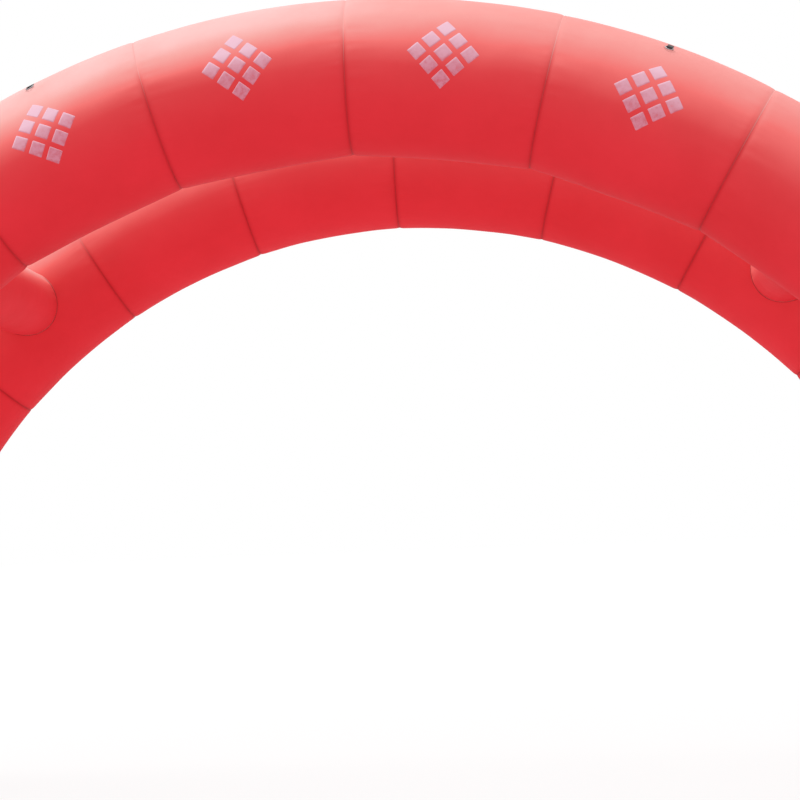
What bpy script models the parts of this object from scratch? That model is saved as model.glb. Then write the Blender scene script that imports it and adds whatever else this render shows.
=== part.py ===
"""Inflatable double arch, in metres, +Z up.

Two equal half-round air tubes stand one behind the other, the front one at -Y, and two short cross tubes
hold them apart. Each tube is sewn from mitred cloth panels with a seam at the top, and ends in a
flat-bottomed foot pan. A blower stands between the legs at each side and fills the rear tube through a
sleeve. The air reaches the front tube through the cross tubes. The origin is on the ground, under the middle
of the two arches.
"""

from math import atan2, ceil, cos, pi, radians, sin, sqrt, tau

import bmesh
import bpy
from mathutils import Matrix, Vector

# Arches: each tube's centreline is a half circle that stands on the foot pans
RING_RADIUS = 4.52
TUBE_RADIUS = 0.48
ARCH_SPACING = 2.84
FOOT_HEIGHT = 0.1
CLOTH = 0.001
SEWN_GAP = 0.0003
WELD = 0.00003
SEAM_ALLOWANCE = 0.02
PANEL_ANGLE = radians(15.6)
SWELL = 0.011
BEND_SHARE = 0.7
TUBE_SIDES = 20

# Cross tubes, at the middle of the third panel from the top
CROSS_RADIUS = 0.24
CROSS_PANEL = 3

# Tether tabs and rings, at the middle of the second panel, on the second facet out from the crown
TAB_PANEL = 2
TAB_FACETS_OUT = 2
TAB_LENGTH = 0.1
TAB_WIDTH = 0.036
TAB_CLOTH = 0.003
RING_WIRE_RADIUS = 0.003
RING_WIDTH = 0.052
RING_DEPTH = 0.046
RING_GAP = 0.0006
RING_SIDES = 8
BOW_STEPS = 8

# Deflation zip, on the lower half of the fifth panel of the rear arch
ZIP_PANEL = 5
ZIP_LENGTH = 0.45
ZIP_TAPE_WIDTH = 0.04
ZIP_TAPE = 0.001
ZIP_TEETH_WIDTH = 0.007
ZIP_TEETH_HEIGHT = 0.0035
ZIP_LIFT = 0.0006
SLIDER_LENGTH = 0.024
SLIDER_WIDTH = 0.014
SLIDER_WALL = 0.0025
SLIDER_GAP = 0.0004

# Blower case, a scroll in the YZ plane with its mouth towards +Y
AXLE_HEIGHT = 0.235
SCROLL_BIG = 0.2
SCROLL_SMALL = 0.15
SCROLL_TURN = radians(290)
SCROLL_POINTS = 18
THROAT_REACH = 0.24
THROAT_HEIGHT = 0.19
CASE_WIDTH = 0.2
CASE_WALL = 0.004
FOOT_RAIL_LENGTH = 0.3
FOOT_RAIL_WIDTH = 0.035
FOOT_RAIL_INSET = 0.012
HANDLE_WIRE = 0.009
HANDLE_LENGTH = 0.13
HANDLE_RISE = 0.045
CASE_SIDES = 24
OVERRUN = 0.02

# Outlet collar and the sleeve that is strapped on it
COLLAR_RADIUS = 0.09
COLLAR_LENGTH = 0.1
COLLAR_WALL = 0.003
FLANGE = 0.006
SLEEVE_LENGTH = 0.35
SLEEVE_LAP = 0.08
SLEEVE_ROOT_RADIUS = 0.15
STRAP_WIDTH = 0.03
STRAP_THICKNESS = 0.003

# Inlet guard
INLET_RADIUS = 0.08
GUARD_RIM = 0.016
GUARD_THICKNESS = 0.005
GUARD_RING_WIDTH = 0.005
GUARD_BAR_WIDTH = 0.004
GUARD_BARS = 6
GUARD_RING_SHARES = (0.28, 0.64)

# Impeller and motor, on one shaft along X
IMPELLER_RADIUS = 0.13
IMPELLER_EYE = 0.085
IMPELLER_DEPTH = 0.09
IMPELLER_PLATE = 0.003
IMPELLER_BACK_GAP = 0.02
BLADES = 8
BLADE_TILT = radians(25)
HUB_RADIUS = 0.025
HUB_LENGTH = 0.04
SHAFT_RADIUS = 0.008
SHAFT_IN_MOTOR = 0.06
SHAFT_SIDES = 16
SHAFT_HOLE_RADIUS = 0.02
RUNNING_GAP = 0.0003
MOTOR_RADIUS = 0.062
MOTOR_LENGTH = 0.115
MOTOR_FLANGE_RADIUS = 0.078
MOTOR_FLANGE = 0.008
MOTOR_ROUNDING = 0.012

# Switch box, rocker and cable gland, on the motor side of the case
BOX_HEIGHT = 0.08
BOX_WIDTH = 0.09
BOX_DEPTH = 0.045
BOX_RISE = 0.13
BOX_ROUNDING = 0.004
ROCKER_LENGTH = 0.022
ROCKER_WIDTH = 0.014
ROCKER_THICKNESS = 0.008
ROCKER_TILT = radians(8)
ROCKER_RECESS_LENGTH = 0.025
ROCKER_RECESS_DEPTH = 0.0068
ROCKER_SIDE_GAP = 0.0003
GLAND_RADIUS = 0.012
GLAND_NUT_LENGTH = 0.008
GLAND_NOSE_RADIUS = 0.008
GLAND_NOSE_LENGTH = 0.016
GLAND_BORE = 0.0045

# Worked out from the sizes above
FULL_PANELS = ceil(pi / 2 / PANEL_ANGLE) - 1
SEAMS = [step * PANEL_ANGLE for step in range(FULL_PANELS + 1)] + [pi / 2]
ARCH_Y = {"front": -ARCH_SPACING / 2, "rear": ARCH_SPACING / 2}
SIDE = {"left": -1, "right": 1}
FACET = tau / TUBE_SIDES
OUTLET_HEIGHT = AXLE_HEIGHT + SCROLL_BIG - THROAT_HEIGHT / 2
BLOWER_X = sqrt(RING_RADIUS**2 - (OUTLET_HEIGHT - FOOT_HEIGHT) ** 2)
MOUTH_Y = ARCH_Y["rear"] - TUBE_RADIUS - SLEEVE_LENGTH
BLOWER_Y = MOUTH_Y - COLLAR_LENGTH - FLANGE - SEWN_GAP - THROAT_REACH


def clear_scene():
    for obj in list(bpy.data.objects):
        bpy.data.objects.remove(obj, do_unlink=True)


def collection(name):
    made = bpy.data.collections.new(name)
    bpy.context.scene.collection.children.link(made)
    return made


def material(name, colour, roughness, metallic=0.0):
    made = bpy.data.materials.new(name)
    made.use_nodes = True
    surface = made.node_tree.nodes["Principled BSDF"]
    surface.inputs["Base Color"].default_value = (*colour, 1)
    surface.inputs["Roughness"].default_value = roughness
    surface.inputs["Metallic"].default_value = metallic
    made.diffuse_color = (*colour, 1)
    return made


def piece(name, mesh, look, placed=None):
    """A sub-part of the arch. placed is its matrix in the world."""
    obj = bpy.data.objects.new(name, mesh)
    arch.objects.link(obj)
    if look.name not in mesh.materials:
        mesh.materials.append(look)
    mesh.shade_smooth()
    mesh.set_sharp_from_angle(angle=radians(35))
    obj.matrix_world = placed or Matrix()
    return obj


def cutter(name, mesh, placed=None):
    """A helper for a Boolean, which isn't a piece of the arch."""
    obj = bpy.data.objects.new(name, mesh)
    cutters.objects.link(obj)
    obj.hide_render = True
    obj.display_type = "WIRE"
    obj.matrix_world = placed or Matrix()
    return obj


def boolean(obj, other, operation="DIFFERENCE"):
    modifier = obj.modifiers.new(f"{operation.lower()} {other.name}", "BOOLEAN")
    modifier.operation = operation
    modifier.object = other
    modifier.solver = "EXACT"


def solidify(obj, thickness):
    """Gives an open surface a wall that lies inside it."""
    modifier = obj.modifiers.new("wall", "SOLIDIFY")
    modifier.thickness = thickness
    modifier.offset = -1
    modifier.use_even_offset = True


def finish(bm, name):
    mesh = bpy.data.meshes.new(name)
    bm.normal_update()
    bmesh.ops.recalc_face_normals(bm, faces=bm.faces)
    bm.to_mesh(mesh)
    bm.free()
    return mesh


def add_box(bm, size, centre, turned=None):
    box = Matrix.Translation(centre) @ (turned or Matrix()) @ Matrix.Diagonal((*size, 1))
    bmesh.ops.create_cube(bm, size=1, matrix=box)


def box_mesh(name, size, centre=(0, 0, 0)):
    bm = bmesh.new()
    add_box(bm, size, centre)
    return finish(bm, name)


def rod_mesh(name, radius, length, sides, capped=True):
    """A round bar or an open pipe along Z, with its middle at the origin."""
    bm = bmesh.new()
    bmesh.ops.create_cone(
        bm, cap_ends=capped, segments=sides, radius1=radius, radius2=radius, depth=length
    )
    return finish(bm, name)


def turned_mesh(name, loops, sides, closed):
    """A mesh turned about Z. Each loop is a list of (radius, height), down its outer side."""
    profile = bpy.data.meshes.new(name)
    points, edges = [], []
    for loop in loops:
        first = len(points)
        points += [(radius, 0, height) for radius, height in loop]
        edges += [(at, at + 1) for at in range(first, len(points) - 1)]
        if closed:
            edges.append((len(points) - 1, first))
    profile.from_pydata(points, edges, [])
    guide = cutter(name, profile)
    screw = guide.modifiers.new("turn", "SCREW")
    screw.steps = screw.render_steps = sides
    screw.use_merge_vertices = True
    screw.merge_threshold = WELD
    return baked(guide, name)


def baked(guide, name):
    """The guide's evaluated mesh, with its loose caps welded. The guide is removed."""
    bpy.context.view_layer.update()
    evaluated = guide.evaluated_get(bpy.context.evaluated_depsgraph_get())
    mesh = bpy.data.meshes.new_from_object(evaluated)
    mesh.name = name
    bpy.data.objects.remove(guide, do_unlink=True)
    bm = bmesh.new()
    bm.from_mesh(mesh)
    bmesh.ops.remove_doubles(bm, verts=bm.verts, dist=WELD)
    bmesh.ops.recalc_face_normals(bm, faces=bm.faces)
    bm.to_mesh(mesh)
    bm.free()
    mesh.materials.clear()
    return mesh


def curve_mesh(name, points, cyclic=False, wire=None, sides=RING_SIDES, thickness=None):
    """A wire through the points, or a flat plate with them as its outline."""
    curve = bpy.data.curves.new(name, "CURVE")
    if wire:
        curve.dimensions = "3D"
        curve.bevel_depth = wire
        curve.bevel_resolution = sides // 2 - 2
        curve.use_fill_caps = True
    else:
        curve.dimensions = "2D"
        curve.fill_mode = "BOTH"
        curve.extrude = thickness / 2
    spline = curve.splines.new("POLY")
    spline.points.add(len(points) - 1)
    for point, place in zip(spline.points, points):
        point.co = (*place, *[0] * (3 - len(place)), 1)
    spline.use_cyclic_u = cyclic
    guide = bpy.data.objects.new(name, curve)
    cutters.objects.link(guide)
    return baked(guide, name)


def arch_matrix(y, angle):
    """At the arch's centre, turned so that +Z points at the ring angle, which is 0 at the top."""
    return Matrix.Translation((0, y, FOOT_HEIGHT)) @ Matrix.Rotation(angle, 4, "Y")


def panel_mesh(name, half_angle, radius, capped=False):
    """A pipe bent about the origin from seam plane to seam plane, with its crown towards +Z."""
    bm = bmesh.new()
    bmesh.ops.create_cone(
        bm, cap_ends=capped, segments=TUBE_SIDES, radius1=1, radius2=1, depth=2
    )
    lengthwise = [edge for edge in bm.edges if edge.verts[0].co.z != edge.verts[1].co.z]
    bmesh.ops.subdivide_edges(bm, edges=lengthwise, cuts=1)
    for vert in bm.verts:
        around = atan2(vert.co.x, vert.co.y)
        vert.co = panel_point(half_angle, radius, vert.co.z, around)
    return finish(bm, name)


def panel_point(half_angle, radius, share, around):
    """A place on a panel: share runs from seam to seam as -1 to 1, and around is 0 at the crown."""
    here = half_angle * share
    chord = cos(half_angle) / cos(here)
    centre = RING_RADIUS * (BEND_SHARE + (1 - BEND_SHARE) * chord)
    section = radius + SWELL * (1 - share**2)
    outward = Vector((sin(here), 0, cos(here)))
    along = Vector((cos(here), 0, -sin(here)))
    across = Vector((0, 1, 0))
    spot = outward * (centre + section * cos(around)) + across * section * sin(around)
    return spot - along * share * SEWN_GAP / 2


def panels():
    """Both arches' cloth panels, numbered from the top seam down each side."""
    shells = {}
    for number, (upper, lower) in enumerate(zip(SEAMS, SEAMS[1:]), 1):
        half = (lower - upper) / 2
        if half not in shells:
            shells[half] = panel_mesh("panel", half, TUBE_RADIUS)
        for arch_name, y in ARCH_Y.items():
            for side, sign in SIDE.items():
                name = f"{arch_name}_panel_{side}_{number}"
                placed = arch_matrix(y, sign * (upper + lower) / 2)
                panel = piece(name, shells[half], red_cloth, placed)
                solidify(panel, CLOTH)


def panel_body(arch_name, side, number):
    """The space that a panel fills, with the sewn gap round it, as a cutter."""
    upper, lower = SEAMS[number - 1 : number + 1]
    mesh = panel_mesh("panel body", (lower - upper) / 2, TUBE_RADIUS + SEWN_GAP, capped=True)
    placed = arch_matrix(ARCH_Y[arch_name], SIDE[side] * (upper + lower) / 2)
    return cutter(f"{arch_name} {side} panel body {number}", mesh, placed)


def foot_pans():
    """An open pan under each leg, with a flat base and a straight wall."""
    bm = bmesh.new()
    height = FOOT_HEIGHT - SEWN_GAP / 2
    bmesh.ops.create_cone(
        bm,
        cap_ends=True,
        segments=TUBE_SIDES,
        radius1=TUBE_RADIUS,
        radius2=TUBE_RADIUS,
        depth=height,
        matrix=Matrix.Translation((0, 0, height / 2)) @ Matrix.Rotation(pi / 2, 4, "Z"),
    )
    lid = max(bm.faces, key=lambda face: face.calc_center_median().z)
    bmesh.ops.delete(bm, geom=[lid], context="FACES_ONLY")
    mesh = finish(bm, "foot pan")
    for arch_name, y in ARCH_Y.items():
        for side, sign in SIDE.items():
            placed = Matrix.Translation((sign * RING_RADIUS, y, 0))
            pan = piece(f"{arch_name}_foot_{side}", mesh, base_cloth, placed)
            solidify(pan, CLOTH)


def cross_tubes():
    """A short tube between the two arches on each side, open into both of them."""
    angle = (SEAMS[CROSS_PANEL - 1] + SEAMS[CROSS_PANEL]) / 2
    pipe = rod_mesh("cross tube", CROSS_RADIUS, ARCH_SPACING, TUBE_SIDES, capped=False)
    opening = rod_mesh("opening", CROSS_RADIUS - SEAM_ALLOWANCE, ARCH_SPACING, TUBE_SIDES)
    for side, sign in SIDE.items():
        centre = Vector((sign * RING_RADIUS * sin(angle), 0, FOOT_HEIGHT + RING_RADIUS * cos(angle)))
        placed = Matrix.Translation(centre) @ Matrix.Rotation(pi / 2, 4, "X")
        tube = piece(f"cross_tube_{side}", pipe, red_cloth, placed)
        solidify(tube, CLOTH)
        hole = cutter(f"{side} cross opening", opening, placed)
        for arch_name in ARCH_Y:
            boolean(tube, panel_body(arch_name, side, CROSS_PANEL))
            boolean(bpy.data.objects[f"{arch_name}_panel_{side}_{CROSS_PANEL}"], hole)


def tethers():
    """A webbing tab with a D-ring on the outer side of each arch, near the crown of the second panel."""
    half = PANEL_ANGLE / 2
    angle = (SEAMS[TAB_PANEL - 1] + SEAMS[TAB_PANEL]) / 2
    bore = (RING_WIRE_RADIUS + RING_GAP) / cos(pi / RING_SIDES)
    loop = bore + TAB_CLOTH
    strap = box_mesh("strap", (TAB_WIDTH, TAB_LENGTH, TAB_CLOTH), (0, 0, TAB_CLOTH / 2))
    eye = rod_mesh("eye", loop, TAB_WIDTH, RING_SIDES)
    hole = rod_mesh("eye bore", bore, TAB_WIDTH + OVERRUN, RING_SIDES)
    wire = ring_mesh()
    lift = (TUBE_RADIUS + SWELL) * cos(FACET / 2) + SEWN_GAP
    crown = panel_point(half, TUBE_RADIUS, 0, 0).length - TUBE_RADIUS - SWELL
    for arch_name, y in ARCH_Y.items():
        lean = (TAB_FACETS_OUT * FACET - FACET / 2) * (1 if y > 0 else -1)
        for side, sign in SIDE.items():
            seat = (
                arch_matrix(y, sign * angle)
                @ Matrix.Translation((0, 0, crown))
                @ Matrix.Rotation(-lean, 4, "X")
                @ Matrix.Translation((0, 0, lift))
                @ Matrix.Rotation(0 if y > 0 else pi, 4, "Z")
            )
            bar = seat @ Matrix.Translation((0, TAB_LENGTH / 2, loop))
            pivot = bar @ Matrix.Rotation(pi / 2, 4, "Y")
            name = f"{arch_name}_tether_tab_{side}"
            tab = piece(name, strap, webbing, seat)
            boolean(tab, cutter(f"{name} eye", eye, pivot), "UNION")
            boolean(tab, cutter(f"{name} bore", hole, pivot))
            piece(f"{arch_name}_tether_ring_{side}", wire, ring_steel, bar)


def ring_mesh():
    """A D-ring: a straight bar along X through the origin, and a half-round bow towards +Y."""
    turns = [pi * step / BOW_STEPS for step in range(BOW_STEPS + 1)]
    bow = [(RING_WIDTH / 2 * cos(turn), RING_DEPTH * sin(turn), 0) for turn in turns]
    return curve_mesh("tether ring", bow, cyclic=True, wire=RING_WIRE_RADIUS)


def deflation_zip():
    """A straight zip on the rear arch's left leg, along one facet of the panel's lower half."""
    half = PANEL_ANGLE / 2
    angle = (SEAMS[ZIP_PANEL - 1] + SEAMS[ZIP_PANEL]) / 2
    corners = [
        panel_point(half, TUBE_RADIUS, share, around)
        for share in (-1, 0)
        for around in (pi / 2 - FACET, pi / 2)
    ]
    low = (corners[0] + corners[1]) / 2
    high = (corners[2] + corners[3]) / 2
    along = (high - low).normalized()
    out = along.cross(corners[1] + corners[3] - corners[0] - corners[2]).normalized()
    out *= 1 if out.y > 0 else -1
    axes = Matrix((along, out.cross(along), out)).transposed().to_4x4()
    place = (low + high) / 2 + out * ZIP_LIFT
    seat = arch_matrix(ARCH_Y["rear"], -angle) @ Matrix.Translation(place) @ axes
    tape = box_mesh("zip tape", (ZIP_LENGTH, ZIP_TAPE_WIDTH, ZIP_TAPE), (0, 0, ZIP_TAPE / 2))
    teeth = box_mesh(
        "zip teeth", (ZIP_LENGTH, ZIP_TEETH_WIDTH, ZIP_TEETH_HEIGHT), (0, 0, ZIP_TEETH_HEIGHT / 2)
    )
    chain = piece("deflation_zip", tape, zip_cloth, seat)
    boolean(chain, cutter("zip teeth", teeth, seat), "UNION")

    inside = ZIP_TEETH_HEIGHT - ZIP_TAPE
    height = inside + SLIDER_WALL
    start = (ZIP_LENGTH - SLIDER_LENGTH) / 2
    block = (SLIDER_LENGTH, SLIDER_WIDTH, height)
    body = box_mesh("slider", block, (0, 0, ZIP_TAPE + SLIDER_GAP + height / 2))
    channel = (SLIDER_LENGTH + OVERRUN, ZIP_TEETH_WIDTH + 2 * SLIDER_GAP, inside + SLIDER_GAP)
    groove = box_mesh("slider groove", channel, (0, 0, ZIP_TAPE + channel[2] / 2))
    slider_seat = seat @ Matrix.Translation((start, 0, 0))
    slider = piece("zip_slider", body, ring_steel, slider_seat)
    boolean(slider, cutter("slider groove", groove, slider_seat))


def scroll_outline():
    """The case's outline about its axle, anticlockwise from the mouth's top corner to its bottom one."""
    points = [Vector((THROAT_REACH, SCROLL_BIG))]
    for step in range(SCROLL_POINTS + 1):
        share = step / SCROLL_POINTS
        angle = SCROLL_TURN * share
        radius = SCROLL_BIG + (SCROLL_SMALL - SCROLL_BIG) * share
        points.append(Vector((-sin(angle), cos(angle))) * radius)
    points.append(Vector((THROAT_REACH, SCROLL_BIG - THROAT_HEIGHT)))
    return points


def inset(points, distance):
    """The same outline with each wall moved inwards by the distance."""
    moved = []
    for before, here, after in zip(points[-1:] + points[:-1], points, points[1:] + points[:1]):
        arriving = (here - before).normalized().orthogonal()
        leaving = (after - here).normalized().orthogonal()
        inward = (arriving + leaving).normalized()
        moved.append(here + inward * distance / inward.dot(arriving))
    return moved


def blower(side):
    """A blower on the ground with its mouth at the sleeve. Its axle runs along X, with the inlet at +X."""
    axle = Matrix.Translation((SIDE[side] * BLOWER_X, BLOWER_Y, AXLE_HEIGHT))
    scroll_plane = axle @ Matrix.Rotation(pi / 2, 4, "Z") @ Matrix.Rotation(pi / 2, 4, "X")
    along_x = Matrix.Rotation(pi / 2, 4, "Y")
    case(side, axle, scroll_plane, along_x)
    outlet(side)
    guard(side, axle, along_x)
    impeller_and_motor(side, axle, along_x)
    switch(side, axle)


def case(side, axle, scroll_plane, along_x):
    """The moulded scroll, hollow and open at its mouth, with two foot rails and a handle."""
    outline = scroll_outline()
    hollow = inset(outline, CASE_WALL)
    hollow[0].x = hollow[-1].x = THROAT_REACH + OVERRUN
    name = f"blower_case_{side}"
    shell = piece(name, curve_mesh(name, outline, True, thickness=CASE_WIDTH), blower_plastic)
    shell.matrix_world = scroll_plane
    cavity = curve_mesh("cavity", hollow, True, thickness=CASE_WIDTH - 2 * CASE_WALL)

    rail_height = AXLE_HEIGHT - SCROLL_SMALL
    bm = bmesh.new()
    for sign in (-1, 1):
        x = sign * (CASE_WIDTH / 2 - FOOT_RAIL_INSET - FOOT_RAIL_WIDTH / 2)
        size = (FOOT_RAIL_WIDTH, FOOT_RAIL_LENGTH, rail_height)
        add_box(bm, size, (x, 0, rail_height / 2 - AXLE_HEIGHT))
    boolean(shell, cutter(f"{name} rails", finish(bm, "rails"), axle), "UNION")

    foot, top = SCROLL_BIG - 2 * HANDLE_WIRE, SCROLL_BIG + HANDLE_RISE
    lead = HANDLE_LENGTH / 2
    bow = [(0, -lead, foot), (0, -lead, top), (0, lead, top), (0, lead, foot)]
    grip = curve_mesh("handle", bow, wire=HANDLE_WIRE)
    boolean(shell, cutter(f"{name} handle", grip, axle), "UNION")

    boolean(shell, cutter(f"{name} cavity", cavity, scroll_plane))
    inlet = rod_mesh("inlet", INLET_RADIUS, 2 * CASE_WALL + OVERRUN, CASE_SIDES)
    inlet_side = axle @ Matrix.Translation((CASE_WIDTH / 2, 0, 0)) @ along_x
    boolean(shell, cutter(f"{name} inlet", inlet, inlet_side))
    shaft = rod_mesh("shaft hole", SHAFT_HOLE_RADIUS, 2 * CASE_WALL + OVERRUN, SHAFT_SIDES)
    motor_side = axle @ Matrix.Translation((-CASE_WIDTH / 2, 0, 0)) @ along_x
    boolean(shell, cutter(f"{name} shaft", shaft, motor_side))


def outlet(side):
    """The collar on the case's mouth, the sleeve that slips over it, and the strap round both."""
    centre = Vector((SIDE[side] * BLOWER_X, MOUTH_Y, OUTLET_HEIGHT))
    towards_blower = Matrix.Rotation(pi / 2, 4, "X")
    mouth = Matrix.Translation(centre) @ towards_blower
    name = f"outlet_collar_{side}"
    size = (CASE_WIDTH, THROAT_HEIGHT, FLANGE)
    plate = box_mesh(name, size, (0, 0, COLLAR_LENGTH + FLANGE / 2))
    collar = piece(name, plate, blower_plastic, mouth)
    reach = COLLAR_LENGTH + FLANGE / 2
    middle = mouth @ Matrix.Translation((0, 0, reach / 2))
    pipe = rod_mesh("collar pipe", COLLAR_RADIUS, reach, CASE_SIDES)
    boolean(collar, cutter(f"{name} pipe", pipe, middle), "UNION")
    bore = rod_mesh("collar bore", COLLAR_RADIUS - COLLAR_WALL, COLLAR_LENGTH + 2 * OVERRUN, CASE_SIDES)
    boolean(collar, cutter(f"{name} bore", bore, middle))

    lap_radius = COLLAR_RADIUS + SEWN_GAP + CLOTH
    root = SLEEVE_LENGTH + TUBE_RADIUS
    profile = [
        (lap_radius, SLEEVE_LAP),
        (lap_radius, 0),
        (SLEEVE_ROOT_RADIUS, -SLEEVE_LENGTH),
        (SLEEVE_ROOT_RADIUS, -root),
    ]
    sleeve_mesh = turned_mesh("sleeve", [profile], CASE_SIDES, closed=False)
    sleeve = piece(f"inlet_sleeve_{side}", sleeve_mesh, red_cloth, mouth)
    solidify(sleeve, CLOTH)
    boolean(sleeve, panel_body("rear", side, len(SEAMS) - 1))

    hole = rod_mesh("inlet hole", SLEEVE_ROOT_RADIUS - SEAM_ALLOWANCE - CLOTH, root, CASE_SIDES)
    leg = bpy.data.objects[f"rear_panel_{side}_{len(SEAMS) - 1}"]
    boolean(leg, cutter(f"{side} inlet hole", hole, mouth @ Matrix.Translation((0, 0, -root / 2))))

    inner = lap_radius + SEWN_GAP
    outer = inner + STRAP_THICKNESS
    low = (SLEEVE_LAP - STRAP_WIDTH) / 2
    high = low + STRAP_WIDTH
    band = [(outer, high), (outer, low), (inner, low), (inner, high)]
    strap_mesh = turned_mesh("strap", [band], CASE_SIDES, closed=True)
    piece(f"sleeve_strap_{side}", strap_mesh, webbing, mouth)


def guard(side, axle, along_x):
    """The inlet's guard: a rim on the case, two rings and radial bars round a small disc."""
    rim = INLET_RADIUS + GUARD_RIM
    clear = INLET_RADIUS - GUARD_BAR_WIDTH
    half = GUARD_THICKNESS / 2
    bands = [(clear, rim)]
    for share in GUARD_RING_SHARES:
        bands.append((share * clear, share * clear + GUARD_RING_WIDTH))
    loops = [[(outer, half), (outer, -half), (inner, -half), (inner, half)] for inner, outer in bands]
    name = f"inlet_guard_{side}"
    face = CASE_WIDTH / 2 + SEWN_GAP + half
    placed = axle @ Matrix.Translation((face, 0, 0)) @ along_x
    rings = piece(name, turned_mesh(name, loops, CASE_SIDES, closed=True), guard_steel, placed)
    inner_end = GUARD_RING_SHARES[0] * clear + GUARD_RING_WIDTH / 2
    length = clear + GUARD_BAR_WIDTH - inner_end
    bm = bmesh.new()
    for bar in range(GUARD_BARS):
        turn = Matrix.Rotation(tau * bar / GUARD_BARS, 4, "Z")
        add_box(bm, (length, GUARD_BAR_WIDTH, half), turn @ Vector((inner_end + length / 2, 0, 0)), turn)
    boolean(rings, cutter(f"{name} bars", finish(bm, "bars"), placed), "UNION")


def impeller_and_motor(side, axle, along_x):
    """The impeller with its shaft, and the motor, flange against the case, that the shaft runs into."""
    back = -CASE_WIDTH / 2 + CASE_WALL + IMPELLER_BACK_GAP
    motor_face = -CASE_WIDTH / 2 - SEWN_GAP
    shaft_end = motor_face - SHAFT_IN_MOTOR
    plate = back + IMPELLER_PLATE
    profile = [
        (0, plate + HUB_LENGTH),
        (HUB_RADIUS, plate + HUB_LENGTH),
        (HUB_RADIUS, plate),
        (IMPELLER_RADIUS, plate),
        (IMPELLER_RADIUS, back),
        (SHAFT_RADIUS, back),
        (SHAFT_RADIUS, shaft_end),
        (0, shaft_end),
    ]
    name = f"impeller_{side}"
    wheel = turned_mesh(name, [profile], SHAFT_SIDES, closed=False)
    placed = axle @ along_x
    impeller = piece(name, wheel, impeller_plastic, placed)
    front = back + IMPELLER_DEPTH
    bm = bmesh.new()
    inner = HUB_RADIUS + OVERRUN
    reach = IMPELLER_RADIUS - inner - IMPELLER_PLATE
    for blade in range(BLADES):
        turn = Matrix.Rotation(tau * blade / BLADES, 4, "Z")
        lean = Matrix.Rotation(BLADE_TILT, 4, "Z")
        size = (reach, IMPELLER_PLATE, front - back - IMPELLER_PLATE)
        middle = turn @ Vector(((inner + IMPELLER_RADIUS) / 2, 0, (front + back) / 2))
        add_box(bm, size, middle, turn @ lean)
    boolean(impeller, cutter(f"{name} blades", finish(bm, "blades"), placed), "UNION")
    shroud = [
        (IMPELLER_RADIUS, front),
        (IMPELLER_RADIUS, front - IMPELLER_PLATE),
        (IMPELLER_EYE, front - IMPELLER_PLATE),
        (IMPELLER_EYE, front),
    ]
    shroud_mesh = turned_mesh("shroud", [shroud], SHAFT_SIDES, closed=True)
    boolean(impeller, cutter(f"{name} shroud", shroud_mesh, placed), "UNION")

    bore = (SHAFT_RADIUS + RUNNING_GAP) / cos(pi / SHAFT_SIDES)
    bore_end = shaft_end - SEWN_GAP
    tail = motor_face - MOTOR_LENGTH
    profile = [
        (0, bore_end),
        (bore, bore_end),
        (bore, motor_face),
        (MOTOR_FLANGE_RADIUS, motor_face),
        (MOTOR_FLANGE_RADIUS, motor_face - MOTOR_FLANGE),
        (MOTOR_RADIUS, motor_face - MOTOR_FLANGE),
        (MOTOR_RADIUS, tail + MOTOR_ROUNDING),
        (MOTOR_RADIUS - MOTOR_ROUNDING, tail),
        (0, tail),
    ]
    name = f"blower_motor_{side}"
    piece(name, turned_mesh(name, [profile], SHAFT_SIDES, closed=False), motor_metal, placed)


def switch(side, axle):
    """The switch box above the motor, its rocker at rest in the off position, and the gland on its side."""
    wall_x = -CASE_WIDTH / 2 - SEWN_GAP
    middle = Vector((wall_x - BOX_DEPTH / 2, 0, BOX_RISE))
    name = f"switch_box_{side}"
    block = box_mesh(name, (BOX_DEPTH, BOX_WIDTH, BOX_HEIGHT))
    box = piece(name, block, switch_plastic, axle @ Matrix.Translation(middle))
    bevel = box.modifiers.new("rounding", "BEVEL")
    bevel.width = BOX_ROUNDING
    bevel.segments = 1
    face = Matrix.Translation((wall_x - BOX_DEPTH, 0, BOX_RISE))
    room = (2 * ROCKER_RECESS_DEPTH, ROCKER_WIDTH + 2 * ROCKER_SIDE_GAP, ROCKER_RECESS_LENGTH)
    boolean(box, cutter(f"{name} recess", box_mesh("recess", room), axle @ face))

    rocker = box_mesh("rocker", (ROCKER_THICKNESS, ROCKER_WIDTH, ROCKER_LENGTH))
    tilted = axle @ face @ Matrix.Rotation(-ROCKER_TILT, 4, "Y")
    piece(f"rocker_switch_{side}", rocker, rocker_plastic, tilted)

    nut = GLAND_NUT_LENGTH
    profile = [
        (GLAND_BORE, nut),
        (GLAND_RADIUS, nut),
        (GLAND_RADIUS, 0),
        (GLAND_NOSE_RADIUS, -GLAND_NOSE_LENGTH),
        (GLAND_BORE, -GLAND_NOSE_LENGTH),
    ]
    gland_mesh = turned_mesh("gland", [profile], SHAFT_SIDES // 2, closed=True)
    end = Vector((wall_x - BOX_DEPTH / 2, -BOX_WIDTH / 2 - SEWN_GAP - nut, BOX_RISE))
    outwards = Matrix.Rotation(-pi / 2, 4, "X")
    piece(f"cable_gland_{side}", gland_mesh, switch_plastic, axle @ Matrix.Translation(end) @ outwards)


clear_scene()
arch = collection("inflatable double arch")
cutters = collection("cutters")

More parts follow.
